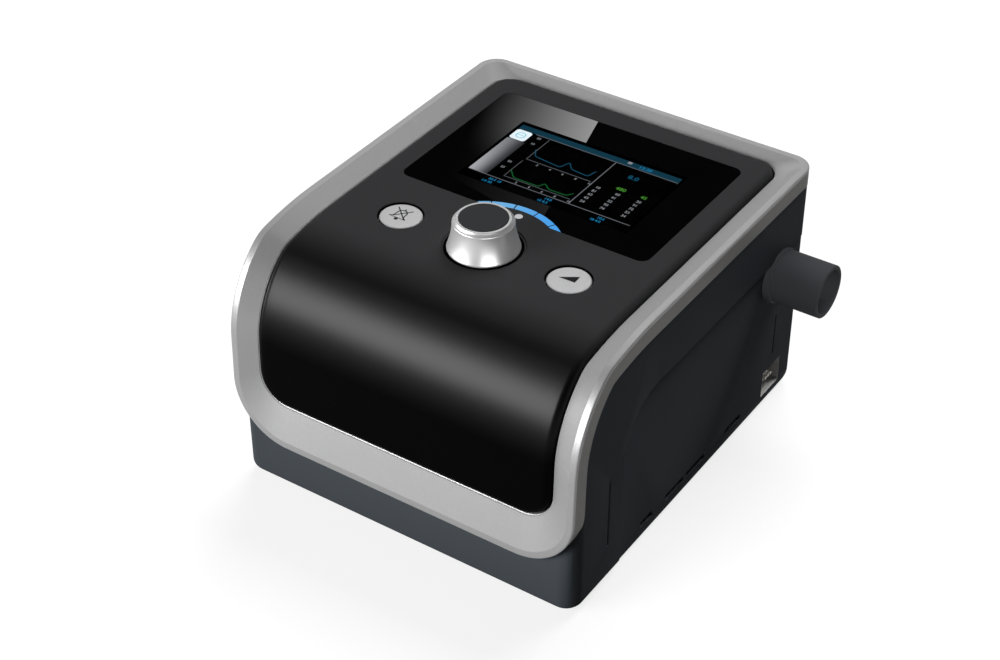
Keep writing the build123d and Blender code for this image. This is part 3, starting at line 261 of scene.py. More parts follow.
# Floor and sky as the camera, mirrors and glass see them, and as they light the object
WORLD_HORIZON = 0.88
WORLD_HIGH = 0.22
WORLD_LIGHT = 0.14
GLOSSY_SHARE = 0.5
FLOOR_REACH = 6.0
FLOOR_SEEN = (0.27, 0.27, 0.27, 1)
FLOOR_GLOW = 0.8
FLOOR_LIGHT = (0.12, 0.12, 0.12, 1)

# Colours that are used in more than one place
GREY = (0.5, 0.5, 0.5, 1)
DARK = (0.01, 0.01, 0.01, 1)


def new_group(name, inputs, outputs):
    """Shader node group with named sockets: its tree, what comes in and what goes out.

    A socket is for a colour when its value is a tuple or its name is Colour, else for a number.
    """
    tree = bpy.data.node_groups.new(name, "ShaderNodeTree")
    for label, value in inputs.items():
        kind = "NodeSocketColor" if isinstance(value, tuple) else "NodeSocketFloat"
        tree.interface.new_socket(label, in_out="INPUT", socket_type=kind).default_value = value
    for label in outputs:
        kind = "NodeSocketColor" if label == "Colour" else "NodeSocketFloat"
        tree.interface.new_socket(label, in_out="OUTPUT", socket_type=kind)
    return tree, tree.nodes.new("NodeGroupInput").outputs, tree.nodes.new("NodeGroupOutput").inputs


def feed(tree, target, value):
    """A socket is linked, anything else becomes the target's constant."""
    if isinstance(value, bpy.types.NodeSocket):
        tree.links.new(value, target)
    else:
        target.default_value = value


def put(tree, kind, values=(), **options):
    """New node with its options set and the named inputs fed."""
    node = tree.nodes.new(kind)
    for key, value in options.items():
        setattr(node, key, value)
    for label, value in dict(values).items():
        feed(tree, node.inputs[label], value)
    return node


def maths(tree, operation, *values):
    node = put(tree, "ShaderNodeMath", operation=operation)
    for target, value in zip(node.inputs, values):
        feed(tree, target, value)
    return node.outputs[0]


def blended(tree, share, first, second):
    """Colour between first (share 0) and second (share 1)."""
    node = put(tree, "ShaderNodeMix", data_type="RGBA")
    for index, value in ((0, share), (6, first), (7, second)):
        feed(tree, node.inputs[index], value)
    return node.outputs[2]


def between(tree, share, first, second):
    """Number between first (share 0) and second (share 1)."""
    node = put(tree, "ShaderNodeMix", data_type="FLOAT")
    for index, value in ((0, share), (2, first), (3, second)):
        feed(tree, node.inputs[index], value)
    return node.outputs[0]


def eased(tree, value, start, end, first=0.0, last=1.0):
    """Smooth step from first to last while value goes from start to end."""
    span = {"Value": value, "From Min": start, "From Max": end, "To Min": first, "To Max": last}
    return put(tree, "ShaderNodeMapRange", span, interpolation_type="SMOOTHSTEP").outputs[0]


def spread(tree, value, middle, width):
    """middle + width * (value - 0.5), for a value from 0 to 1."""
    return maths(tree, "MULTIPLY_ADD", maths(tree, "SUBTRACT", value, 0.5), width, middle)


def noise(tree, vector, scale, detail=2.0, roughness=0.5):
    values = {"Vector": vector, "Scale": scale, "Detail": detail, "Roughness": roughness}
    return put(tree, "ShaderNodeTexNoise", values).outputs["Fac"]


def object_place(tree):
    return put(tree, "ShaderNodeTexCoord").outputs["Object"]


def axes(tree, vector):
    return put(tree, "ShaderNodeSeparateXYZ", {"Vector": vector}).outputs


def metres(axis, *values):
    """Millimetres along an axis (0 x, 1 y, 2 z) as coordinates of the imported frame."""
    return [value * MM + float(MIDDLE[axis]) for value in values]


def tinted(tree, colour, factor):
    """Colour times a factor."""
    node = put(tree, "ShaderNodeVectorMath", {"Scale": factor}, operation="SCALE")
    feed(tree, node.inputs[0], colour[:3] if isinstance(colour, tuple) else colour)
    return node.outputs[0]


def moulded_grain():
    """Fine noise for the texture of a mould, broad noise for slight colour and sheen changes."""
    tree, given, result = new_group(
        "moulded_grain",
        {"Colour": GREY, "Mottle": 0.08, "Grain": 2200.0, "Roughness": 0.5, "Sheen change": 0.1},
        ("Colour", "Roughness", "Height"),
    )
    where = object_place(tree)
    fine = noise(tree, where, given["Grain"], 3.0, 0.6)
    broad = noise(tree, where, 26.0, 4.0, 0.6)
    both = maths(tree, "MULTIPLY_ADD", fine, 0.5, maths(tree, "MULTIPLY", broad, 0.5))
    feed(tree, result["Colour"], tinted(tree, given["Colour"], spread(tree, both, 1.0, given["Mottle"])))
    feed(tree, result["Roughness"], spread(tree, broad, given["Roughness"], given["Sheen change"]))
    feed(tree, result["Height"], fine)
    return tree


def metal_flake():
    """Cells of a fifth of a millimetre, each with its own brightness, like flakes in lacquer."""
    tree, given, result = new_group(
        "metal_flake",
        {"Colour": GREY, "Sparkle": 0.2, "Flakes": 5000.0, "Roughness": 0.35, "Sheen change": 0.08},
        ("Colour", "Roughness", "Height"),
    )
    where = object_place(tree)
    cells = put(tree, "ShaderNodeTexVoronoi", {"Vector": where, "Scale": given["Flakes"]})
    flake = put(tree, "ShaderNodeSeparateColor", {"Color": cells.outputs["Color"]}).outputs["Red"]
    broad = noise(tree, where, 18.0, 4.0, 0.6)
    bright = spread(tree, flake, 1.0, given["Sparkle"])
    feed(tree, result["Colour"], tinted(tree, given["Colour"], bright))
    feed(tree, result["Roughness"], spread(tree, broad, given["Roughness"], given["Sheen change"]))
    feed(tree, result["Height"], flake)
    return tree


def turning_marks():
    """Noise that depends only on the distance from an upright axis and the height: lathe rings.

    The axis stands at X on both sides of the middle plane, so one finish serves a pair.
    """
    tree, given, result = new_group(
        "turning_marks",
        {"X": 0.0, "Y": 0.0, "Rings": 4000.0, "Roughness": 0.3, "Sheen change": 0.05},
        ("Roughness", "Height"),
    )
    where = axes(tree, object_place(tree))
    across = maths(tree, "SUBTRACT", where["X"], float(MIDDLE[0]))
    across = maths(tree, "SUBTRACT", maths(tree, "ABSOLUTE", across), given["X"])
    along = maths(tree, "SUBTRACT", where["Y"], given["Y"])
    squares = maths(tree, "MULTIPLY_ADD", across, across, maths(tree, "MULTIPLY", along, along))
    radius = maths(tree, "SQRT", squares)
    rings = put(tree, "ShaderNodeCombineXYZ", {"X": radius, "Y": where["Z"]}).outputs[0]
    turns = noise(tree, rings, given["Rings"], 2.0, 0.7)
    feed(tree, result["Roughness"], spread(tree, turns, given["Roughness"], given["Sheen change"]))
    feed(tree, result["Height"], turns)
    return tree


def worn_edges():
    """Convex edges, found by how pointed the surface is, take on a second colour in patches."""
    tree, given, result = new_group(
        "worn_edges", {"Colour": GREY, "Worn": (0.7, 0.7, 0.7, 1), "Amount": 0.4}, ("Colour",),
    )
    pointed = put(tree, "ShaderNodeNewGeometry").outputs["Pointiness"]
    patch = noise(tree, object_place(tree), 160.0, 4.0, 0.7)
    mask = maths(tree, "MULTIPLY", eased(tree, pointed, 0.51, 0.6), eased(tree, patch, 0.35, 0.7))
    mask = maths(tree, "MULTIPLY", mask, given["Amount"])
    feed(tree, result["Colour"], blended(tree, mask, given["Colour"], given["Worn"]))
    return tree


def open_cells():
    """Distance to the nearest of many cell middles: pits of foam, or tufts of filter wool."""
    tree, given, result = new_group(
        "open_cells", {"Colour": (0.2, 0.2, 0.2, 1), "Cells": 900.0}, ("Colour", "Height"),
    )
    cells = put(tree, "ShaderNodeTexVoronoi", {"Vector": object_place(tree), "Scale": given["Cells"]})
    depth = maths(tree, "MULTIPLY", cells.outputs["Distance"], 1.6)
    feed(tree, result["Colour"], tinted(tree, given["Colour"], spread(tree, depth, 0.9, 0.7)))
    feed(tree, result["Height"], depth)
    return tree


def board_tracks():
    """Square cells whose borders show as paler copper tracks under the board's varnish."""
    tree, given, result = new_group(
        "board_tracks",
        {"Colour": (0.01, 0.08, 0.03, 1), "Track": (0.05, 0.2, 0.07, 1)},
        ("Colour", "Height"),
    )
    cells = put(
        tree, "ShaderNodeTexVoronoi", {"Vector": object_place(tree), "Scale": 420.0, "Randomness": 0.55},
        distance="CHEBYCHEV", feature="F2",
    )
    track = eased(tree, cells.outputs["Distance"], 0.62, 0.7)
    feed(tree, result["Colour"], blended(tree, track, given["Colour"], given["Track"]))
    feed(tree, result["Height"], track)
    return tree


GRAIN = moulded_grain()
FLAKE = metal_flake()
TURNED = turning_marks()
WORN = worn_edges()
CELLS = open_cells()
TRACKS = board_tracks()


def tone(red, green, blue):
    """Screen colour, 0 to 255, as the linear colour that renders like it."""
    share = np.array([red, green, blue]) / 255
    linear = np.where(share <= 0.04045, share / 12.92, ((share + 0.055) / 1.055) ** 2.4)
    return (*linear.tolist(), 1.0)


def new_finish(name, **constants):
    """Material with its Principled shader's plain sockets set: underscores stand for spaces."""
    material = bpy.data.materials.new(name)
    material.use_nodes = True
    shader = material.node_tree.nodes["Principled BSDF"]
    for label, value in constants.items():
        shader.inputs[label.replace("_", " ")].default_value = value
    return material, material.node_tree, shader


def use(tree, group, **values):
    """Places a node group with its own values and gives its outputs."""
    node = put(tree, "ShaderNodeGroup", node_tree=group)
    for label, value in values.items():
        feed(tree, node.inputs[label.replace("_", " ")], value)
    return node.outputs


def dress(tree, shader, depth, height, colour, roughness=None):
    """Feeds the shader a relief of that depth in metres, a colour and, if given, a roughness."""
    bump = put(tree, "ShaderNodeBump", {"Height": height, "Distance": depth, "Strength": 1.0})
    tree.links.new(bump.outputs["Normal"], shader.inputs["Normal"])
    tree.links.new(colour, shader.inputs["Base Color"])
    if roughness:
        tree.links.new(roughness, shader.inputs["Roughness"])


def moulded(name, colour, roughness, mottle=0.1, grain=2200.0, depth=6e-6, specular=0.5):
    """Moulded plastic or rubber with a fine mould texture."""
    material, tree, shader = new_finish(name, Specular_IOR_Level=specular)
    look = {"Colour": colour, "Mottle": mottle, "Grain": grain, "Roughness": roughness}
    out = use(tree, GRAIN, Sheen_change=0.12, **look)
    dress(tree, shader, depth, out["Height"], out["Colour"], out["Roughness"])
    return material


def lacquered(name, colour, worn, roughness, metallic, specular=0.5):
    """Lacquer with metal flake, rubbed a little paler along its edges."""
    material, tree, shader = new_finish(name, Metallic=metallic, Specular_IOR_Level=specular)
    flake = use(tree, FLAKE, Colour=colour, Sparkle=0.12, Roughness=roughness)
    edge = use(tree, WORN, Colour=flake["Colour"], Worn=worn, Amount=0.35)
    dress(tree, shader, 1.5e-6, flake["Height"], edge["Colour"], flake["Roughness"])
    return material


def turned(name, colour, roughness, metallic, x, y, depth):
    """Lathe-turned metal whose fine rings run round an upright axis."""
    material, tree, shader = new_finish(name, Metallic=metallic)
    marks = use(tree, TURNED, X=x * MM, Y=metres(1, y)[0], Roughness=roughness)
    edge = use(tree, WORN, Colour=colour, Worn=(0.8, 0.8, 0.8, 1), Amount=0.4)
    dress(tree, shader, depth, marks["Height"], edge["Colour"], marks["Roughness"])
    return material


def plain_metal(name, colour, roughness, metallic=0.9):
    """Rolled or drawn metal: faint flake and uneven sheen."""
    material, tree, shader = new_finish(name, Metallic=metallic)
    flake = use(tree, FLAKE, Colour=colour, Sparkle=0.1, Flakes=2500.0, Roughness=roughness)
    dress(tree, shader, 1e-6, flake["Height"], flake["Colour"], flake["Roughness"])
    return material


def celled(name, colour, cells, depth):
    """Foam or filter wool."""
    material, tree, shader = new_finish(name, Roughness=0.95, Specular_IOR_Level=0.1)
    out = use(tree, CELLS, Colour=colour, Cells=cells)
    dress(tree, shader, depth, out["Height"], out["Colour"])
    return material


def circuit_board():
    """Green varnish over raised tracks."""
    material, tree, shader = new_finish("green_board", Roughness=0.35)
    out = use(tree, TRACKS)
    dress(tree, shader, 2e-5, out["Height"], out["Colour"])
    return material


def panel_finish():
    """Grey on the flat top, painted shade darkening it to deep black down the front, with a clear coat over
    the bend.
    """
    material, tree, shader = new_finish("panel_black", Specular_IOR_Level=0.02, Coat_Roughness=0.37)
    where = axes(tree, object_place(tree))
    # Painted shade: the colour goes from near black at the front to grey on the top
    top_grey_share = eased(tree, where["Y"], *metres(1, *PAINTED_SHADE_Y))
    colour = blended(tree, top_grey_share, PANEL_SHADED_FRONT, PANEL_TOP_GREY)
    out = use(tree, GRAIN, Colour=colour, Mottle=0.08, Grain=2600.0, Roughness=0.42, Sheen_change=0.06)
    bend = eased(tree, where["Z"], *metres(2, *COAT_Z), 0.0, COAT_SHARE)
    coat = maths(tree, "MULTIPLY", bend, eased(tree, where["Y"], *metres(1, *COAT_Y)))
    tree.links.new(coat, shader.inputs["Coat Weight"])
    dress(tree, shader, 2e-6, out["Height"], out["Colour"], out["Roughness"])
    return material


def polished(name, first, second, scale, detail, **constants):
    """Mirror-smooth finish whose colour drifts between two shades."""
    material, tree, shader = new_finish(name, Roughness=0.0, **constants)
    cloud = noise(tree, object_place(tree), scale, detail)
    tree.links.new(blended(tree, cloud, first, second), shader.inputs["Base Color"])
    return material


def clear_window():
    """Thin glass with an anti-glare coat, so it mirrors nothing, tinted very slightly unevenly."""
    tints = ((0.9, 0.92, 0.94, 1), (0.96, 0.97, 0.97, 1))
    return polished("clear_window", *tints, 25.0, 1.0, Transmission_Weight=1.0, IOR=1.0)


def printed_mask():
    """Black print of the window, as glossy as its glass."""
    blacks = ((0.001, 0.001, 0.0012, 1), (0.0018, 0.0018, 0.002, 1))
    return polished("mask_black", *blacks, 60.0, 2.0, Specular_IOR_Level=0.1)


def shining(name, base=DARK, roughness=0.5, specular=0.02):
    """Start of a finish that shines by itself: its emission colour is still to be fed."""
    return new_finish(
        name, Base_Color=base, Roughness=roughness, Specular_IOR_Level=specular, Emission_Strength=1.0,
    )


def glowing(name, *shade, base=DARK):
    """Part of the display that shines a little unevenly, in a shade of the screen."""
    material, tree, shader = shining(name, base)
    cloud = noise(tree, object_place(tree), 260.0, 2.0)
    colour = tinted(tree, tone(*shade), spread(tree, cloud, 1.0, 0.12))
    tree.links.new(colour, shader.inputs["Emission Color"])
    return material


def arc_glow():
    """Light guide that is paler on the left and a fuller blue on the right."""
    material, tree, shader = shining("arc_blue", (0.02, 0.06, 0.1, 1), 0.35, 0.5)
    where = axes(tree, object_place(tree))
    reach = ARC_INNER_R * sin(radians(ARC_GAP_TURNS[-1]))
    share = eased(tree, where["X"], *metres(0, -reach, reach))
    colour = blended(tree, share, tone(*ARC_LEFT), tone(*ARC_RIGHT))
    cloud = noise(tree, object_place(tree), 400.0, 2.0)
    tree.links.new(tinted(tree, colour, spread(tree, cloud, 1.0, 0.1)), shader.inputs["Emission Color"])
    return material


def sidebar_painted_reflection():
    """Grey strip of the display, with a painted reflection that makes it brightest at its outer edge and
    near its foot.
    """
    material, tree, shader = shining("screen_sidebar_painted_reflection")
    where = axes(tree, object_place(tree))
    outer = eased(tree, where["X"], *metres(0, *SIDEBAR_X), 1.0, 0.0)
    lower = eased(tree, where["Y"], *metres(1, *SIDEBAR_Y), 1.0, 0.55)
    colour = blended(tree, maths(tree, "MULTIPLY", outer, lower), tone(52, 53, 56), tone(172, 173, 176))
    tree.links.new(colour, shader.inputs["Emission Color"])
    return material


# After its colour a moulded finish gives roughness, mottle, grain, depth of relief and mirror share
silver = lacquered("silver_lacquer", (0.46, 0.46, 0.462, 1), (0.62, 0.62, 0.62, 1), 0.37, 0.45)
# Painted shade: the frame's side wall is a darker copy of the silver lacquer
skirt_painted_shade = lacquered("skirt_lacquer_painted_shade", (0.36, 0.354, 0.342, 1), (0.4, 0.4, 0.4, 1), 0.5, 0.2, 0.2)
panel_black = panel_finish()
slate = moulded("slate_plastic", (0.078, 0.089, 0.101, 1), 0.6, 0.06, 1800.0, 9e-6, 0.02)
# Painted light: pale grey for the casing's own walls inside the pocket
pocket_painted_light = moulded("pocket_painted_light", (0.8, 0.79, 0.77, 1), 0.5, 0.1, 1800.0, 6e-6, 0.2)
# Painted highlight: a paler copy of the slate for bevels, the docking ledge and the slot floors and walls
slate_painted_highlight = moulded("slate_painted_highlight", (0.2, 0.215, 0.235, 1), 0.5, 0.2, 1800.0, 9e-6, 0.05)
cap_black = moulded("cap_black", (0.033, 0.034, 0.036, 1), 0.5, 0.06, 2600.0, 3e-6, 0.1)
outlet_dark = moulded("outlet_dark", (0.05, 0.053, 0.058, 1), 0.55, 0.1, 2400.0, 4e-6, 0.04)
dock_grey = moulded("dock_grey", (0.42, 0.41, 0.4, 1), 0.45, 0.1, 2000.0, 4e-6)
knob_turned = turned("turned_metal", (0.72, 0.72, 0.72, 1), 0.31, 0.72, 0.0, KNOB_Y, 1.2e-7)
key_turned = turned("key_face", (0.64, 0.64, 0.645, 1), 0.36, 0.5, KEY_X, KEY_Y, 8e-7)
window_clear = clear_window()
mask_black = printed_mask()
# Painted shade: near black for the wells round the knob and keys
well_painted_shade = moulded("well_painted_shade", (0.002, 0.002, 0.002, 1), 0.6, 0.1, 2000.0, 1e-6, 0.02)
print_dark = moulded("print_dark", (0.014, 0.014, 0.015, 1), 0.5, 0.1, 2000.0, 1e-6)
dot_white = glowing("dot_white", 186, 187, 190, base=(0.06, 0.06, 0.06, 1))

# Finishes of the CAD nodes that are shown as they are: by slot of the record, then by node
FINISHES = {
    "casing_plastic": slate,
    "silver_plastic": silver,
    "panel_plastic": cap_black,
    "window_glass": window_clear,
    "mask_black": mask_black,
    "display": moulded("display_black", (0.0015, 0.0014, 0.0016, 1), 0.5, 0.1, 2000.0, 1e-6, 0.02),
    "inner_plastic": moulded("inner_plastic", (0.09, 0.094, 0.1, 1), 0.55, 0.12, 1600.0),
    "light_guide": arc_glow(),
    "white_plastic": moulded("white_plastic", (0.62, 0.63, 0.63, 1), 0.45, 0.06, 2200.0),
    "satin_metal": knob_turned,
    "key_metal": key_turned,
    "steel": plain_metal("plain_steel", (0.5, 0.5, 0.51, 1), 0.32),
    "board": circuit_board(),
    "chip": moulded("chip_black", (0.02, 0.02, 0.021, 1), 0.5, 0.1, 1800.0),
    "card_plastic": moulded("card_blue", (0.02, 0.045, 0.16, 1), 0.4, 0.1, 2400.0),
    "lead": moulded("lead_black", (0.012, 0.012, 0.012, 1), 0.5, 0.1, 1500.0),
    "foam": celled("grey_foam", (0.035, 0.035, 0.037, 1), 900.0, 3e-4),
    "foam_white": celled("filter_wool", (0.75, 0.76, 0.77, 1), 1600.0, 2e-4),
    "rubber": moulded("soft_rubber", (0.018, 0.018, 0.019, 1), 0.75, 0.12, 1300.0, 8e-6),
    "magnet": plain_metal("laminated_iron", (0.09, 0.09, 0.095, 1), 0.45, 0.8),
    "silicone": moulded("clear_silicone", (0.5, 0.54, 0.58, 1), 0.35, 0.06, 900.0, 3e-6),
    "outlet_plastic": outlet_dark,
    "contact_brass": plain_metal("contact_metal", (0.5, 0.48, 0.44, 1), 0.3),
}
NODE_FINISHES = {"indicator_lens": dot_white, "dock_socket": dock_grey}


def place(points):
    """Millimetres from the casing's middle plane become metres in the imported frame."""
    return np.asarray(points, float).reshape(-1, 3) * MM + MIDDLE


def crown_arcs():
    """Centre y and z, radius and turns of the three arcs, each tangent to the one before."""
    y, z = CROWN_START_Y, CROWN_TOP - CROWN_RADII[0]
    begin = 0.0
    arcs = []
    for number, (radius, turn) in enumerate(zip(CROWN_RADII, CROWN_TURNS)):
        if number:
            step = CROWN_RADII[number - 1] - radius
            y -= sin(radians(begin)) * step
            z += cos(radians(begin)) * step
        arcs.append((y, z, radius, radians(begin), radians(turn)))
        begin = turn
    return arcs


def crown(along, sink):
    """Point (y, z) at a distance along the crown, forward from the end of its flat top.

    The distance is used up by the flat, then by each arc at its own radius, and what is left
    by the straight front. The point then moves inwards along the normal by sink.
    """
    along, sink = np.broadcast_arrays(np.asarray(along, float), np.asarray(sink, float))
    y = CROWN_START_Y - along
    z = CROWN_TOP - sink
    start = 0.0
    for centre_y, centre_z, radius, begin, end in crown_arcs():
        length = radius * (end - begin)
        turn = begin + np.clip(along - start, 0, length) / radius
        on_arc = along > start
        y = np.where(on_arc, centre_y - np.sin(turn) * (radius - sink), y)
        z = np.where(on_arc, centre_z + np.cos(turn) * (radius - sink), z)
        start += length
    rest = np.maximum(along - start, 0)
    return y - rest * cos(end), z - rest * sin(end)


def along_at_height(z):
    """Distance along the crown at which its straight front comes down to height z."""
    arcs = crown_arcs()
    length = sum(radius * (end - begin) for _, _, radius, begin, end in arcs)
    _, centre_z, radius, _, end = arcs[-1]
    return length + (centre_z + radius * cos(end) - z) / sin(end)


def on_crown(x, along, sink):
    """Points at x on the crown, at a distance along it and a sink below it."""
    y, z = crown(along, sink)
    return np.stack([np.broadcast_to(x, y.shape), y, z], -1)


def outline(half_width, rear, front, rear_r, front_r):
    """Closed rounded rectangle on the unrolled crown, as columns x and distance along.

    It runs from the right rear corner forward down the right side, across the front, back up
    the left side and across the rear. Every outline has the same count in each stretch, so
    that two of them can be blended point by point.
    """
    corners = (
        (half_width - rear_r, rear + rear_r, rear_r, -90),
        (half_width - front_r, front - front_r, front_r, 0),
        (front_r - half_width, front - front_r, front_r, 90),
        (rear_r - half_width, rear + rear_r, rear_r, 180),
    )
    stretches = []
    for number, (x, along, radius, begin) in enumerate(corners):
        turn = np.radians(begin + 90 * np.arange(CORNER_STEPS) / CORNER_STEPS)
        arc = np.stack([x + radius * np.cos(turn), along + radius * np.sin(turn)], -1)
        after = corners[(number + 1) % 4]
        end = radians(begin + 90)
        heading = np.array([cos(end), sin(end)])
        start_point = np.array([x, along]) + radius * heading
        end_point = np.array([after[0], after[1]]) + after[2] * heading
        steps = END_STEPS if number % 2 else SIDE_STEPS
        share = np.arange(steps)[:, None] / steps
        stretches += [arc, start_point * (1 - share) + end_point * share]
    return np.concatenate(stretches)


def linked(name, data):
    """New object in the scene, at the origin."""
    made = bpy.data.objects.new(name, data)
    bpy.context.scene.collection.objects.link(made)
    return made


@contextmanager
def edited(mesh):
    """Opens a mesh for editing, and writes it back at the end."""
    shell = bmesh.new()
    shell.from_mesh(mesh)
    yield shell
    shell.to_mesh(mesh)
    shell.free()


def merge(shell, distance):
    """Merges points that lie together and drops the faces this leaves flat."""
    bmesh.ops.remove_doubles(shell, verts=shell.verts, dist=distance)
    bmesh.ops.dissolve_degenerate(shell, edges=shell.edges, dist=distance)


def new_object(name, points, faces, second=None):
    """Closed mesh at the origin, facing outwards; second numbers the faces of a second finish."""
    mesh = bpy.data.meshes.new(name)
    mesh.from_pydata(points, [], faces)
    if second is not None:
        mesh.polygons.foreach_set("material_index", np.asarray(second, np.int32))
    with edited(mesh) as shell:
        merge(shell, 1e-7)
        bmesh.ops.recalc_face_normals(shell, faces=shell.faces)
    return linked(name, mesh)


def new_piece(name, points, faces, finish, body, slot, replaces=(), second=None, sharp=32.0):
    """New closed object with its finish, which rides on a CAD body."""
    return finish_piece(new_object(name, points, faces, second), finish, body, replaces, sharp)


def finish_piece(piece, finish, body, replaces, sharp=32.0):
    """Smooth shading with sharp edges, one or two finishes, and the CAD body it rides on."""
    mesh = piece.data
    for number, material in enumerate(finish if isinstance(finish, tuple) else (finish,)):
        if number < len(mesh.materials):
            mesh.materials[number] = material
        else:
            mesh.materials.append(material)
    mesh.shade_smooth()
    mesh.set_sharp_from_angle(angle=radians(sharp))
    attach(piece, body)
    if replaces:
        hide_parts(*replaces)
    return piece


def mark(mesh, number, picks):
    """Gives a numbered finish to the faces that picks chooses by centre and normal."""
    count = len(mesh.polygons)
    centres = np.empty(count * 3)
    normals = np.empty(count * 3)
    finishes = np.empty(count, np.int32)
    for label, values in (("center", centres), ("normal", normals), ("material_index", finishes)):
        mesh.polygons.foreach_get(label, values)
    centres = (centres.reshape(-1, 3) - MIDDLE) / MM
    finishes[picks(centres, normals.reshape(-1, 3))] = number
    mesh.polygons.foreach_set("material_index", finishes)


def ring_faces(rings, count, closed=False):
    """Quads between successive rings of count points each."""
    last = rings if closed else rings - 1
    row = np.arange(last)[:, None] * count
    after = (np.arange(last)[:, None] + 1) % rings * count
    here = np.arange(count)[None, :]
    there = (here + 1) % count
    quads = np.stack([row + here, row + there, after + there, after + here], -1)
    return quads.reshape(-1, 4)


def patch_faces(rows, columns, first):
    """Quads of an open grid of rows by columns points."""
    here = first + np.arange(rows - 1)[:, None] * columns + np.arange(columns - 1)[None, :]
    quads = np.stack([here, here + 1, here + columns + 1, here + columns], -1)
    return quads.reshape(-1, 4)


def lathe(profile, centre, level=False):
    """Surface of revolution: each point (radius, height) of a profile goes round an axis.

    The axis is upright, or runs along x when level. The points of a profile that starts or ends
    on the axis meet there, and are merged.
    """
    radius, height = np.array(profile, float).T
    turn = 2 * pi * np.arange(ROUND_STEPS) / ROUND_STEPS
    across = radius[:, None] * np.cos(turn)
    up = radius[:, None] * np.sin(turn)
    along = np.broadcast_to(height[:, None], across.shape)
    columns = (along, across, up) if level else (across, up, along)
    points = np.stack(columns, -1).reshape(-1, 3) + np.array(centre)
    return place(points), ring_faces(len(profile), ROUND_STEPS).tolist()


def arc_points(centre, radius, begin, end, steps):
    """Points of an arc in the plane of a profile, with turns in degrees."""
    turn = np.radians(np.linspace(begin, end, steps))
    return [(centre[0] + radius * cos(t), centre[1] + radius * sin(t)) for t in turn]


def rounding(radius, steps):
    """How far in and how far down the rings of a quarter-round edge lie, from its foot up."""
    turns = np.radians(np.linspace(0, 90, steps))
    return [(radius * (1 - cos(turn)), radius * (1 - sin(turn))) for turn in turns]


def plan_moved(plan, grow):
    """Plan moved outwards by grow, each point along the mean normal of its two edges."""
    ahead = np.roll(plan, -1, 0) - plan
    behind = plan - np.roll(plan, 1, 0)
    ahead /= np.linalg.norm(ahead, axis=1)[:, None]
    behind /= np.linalg.norm(behind, axis=1)[:, None]
    normal = np.column_stack([ahead[:, 1] + behind[:, 1], -ahead[:, 0] - behind[:, 0]])
    normal /= np.linalg.norm(normal, axis=1)[:, None]
    return plan + normal * grow


def prism(plan, levels):
    """Closed body over a plan: one ring at each (growth of the plan, height)."""
    count = len(plan)
    rings = [np.column_stack([plan_moved(plan, grow), np.full(count, z)]) for grow, z in levels]
    faces = ring_faces(len(levels), count).tolist()
    faces.append(list(range(count)))
    faces.append(list(range((len(levels) - 1) * count, len(levels) * count)))
    return place(np.concatenate(rings)), faces


def plates(name, plans, z, material, body="casing", slot="display"):
    """Thin closed plates over several plans, all in one mesh: prints and parts of the display."""
    points = []
    faces = []
    for plan in plans:
        count = len(plan)
        first = len(points)
        points += [(x, y, z) for x, y in plan]
        points += [(x, y, z + PRINT_HEIGHT) for x, y in plan]
        faces += (first + ring_faces(2, count)).tolist()
        faces.append(list(range(first, first + count)))
        faces.append(list(range(first + count, first + 2 * count)))
    return new_piece(name, place(points), faces, material, body, slot)


def rectangle(left, right, front, rear):
    """Four corners, from the left front one round to the left rear one."""
    return np.array([(left, front), (right, front), (right, rear), (left, rear)], float)


def rounded_rectangle(left, right, front, rear, radius, steps):
    """Quarter arcs about four middles that lie a radius inside the corners."""
    corners = (
        (right - radius, front + radius, -90), (right - radius, rear - radius, 0),
        (left + radius, rear - radius, 90), (left + radius, front + radius, 180),
    )
    arcs = [arc_points((x, y), radius, begin, begin + 90, steps) for x, y, begin in corners]
    return np.concatenate(arcs)


def disc(x, y, radius):
    """Points at even turns round a circle."""
    return np.array(arc_points((x, y), radius, 0, 360, DISC_STEPS + 1)[:-1])


def rounded(path, reach):
    """Path whose corners become parabolas that start and end at most reach from each corner."""
    path = np.array(path, float)
    made = [path[:1]]
    share = np.linspace(0, 1, BEND_STEPS)[:, None]
    for before, corner, after in zip(path[:-2], path[1:-1], path[2:]):
        start, end = (
            corner + (other - corner) * min(0.45, reach / np.linalg.norm(other - corner))
            for other in (before, after)
        )
        made.append((1 - share) ** 2 * start + 2 * share * (1 - share) * corner + share ** 2 * end)
    return np.concatenate(made + [path[-1:]])


def stroke(path, width):
    """Ribbon of even width along a path: each point moves both ways along its mean normal."""
    path = np.array(path, float)
    step = np.diff(path, axis=0)
    step /= np.linalg.norm(step, axis=1)[:, None]
    before = np.concatenate([step[:1], step])
    heading = before + np.concatenate([step, step[-1:]])
    heading /= np.linalg.norm(heading, axis=1)[:, None]
    widening = np.minimum(1 / np.sum(heading * before, axis=1), 2.0)
    side = np.column_stack([-heading[:, 1], heading[:, 0]]) * (width / 2 * widening)[:, None]
    return np.concatenate([path - side, (path + side)[::-1]])


def opening_outline(inset):
    """Outline of the frame's opening, moved in by inset."""
    return outline(
        OPENING_HALF_WIDTH - inset,
        CROWN_START_Y - OPENING_REAR_Y + inset,
        along_at_height(OPENING_BOTTOM_Z) - inset,
        OPENING_REAR_R - inset,
        OPENING_FRONT_R - inset,
    )


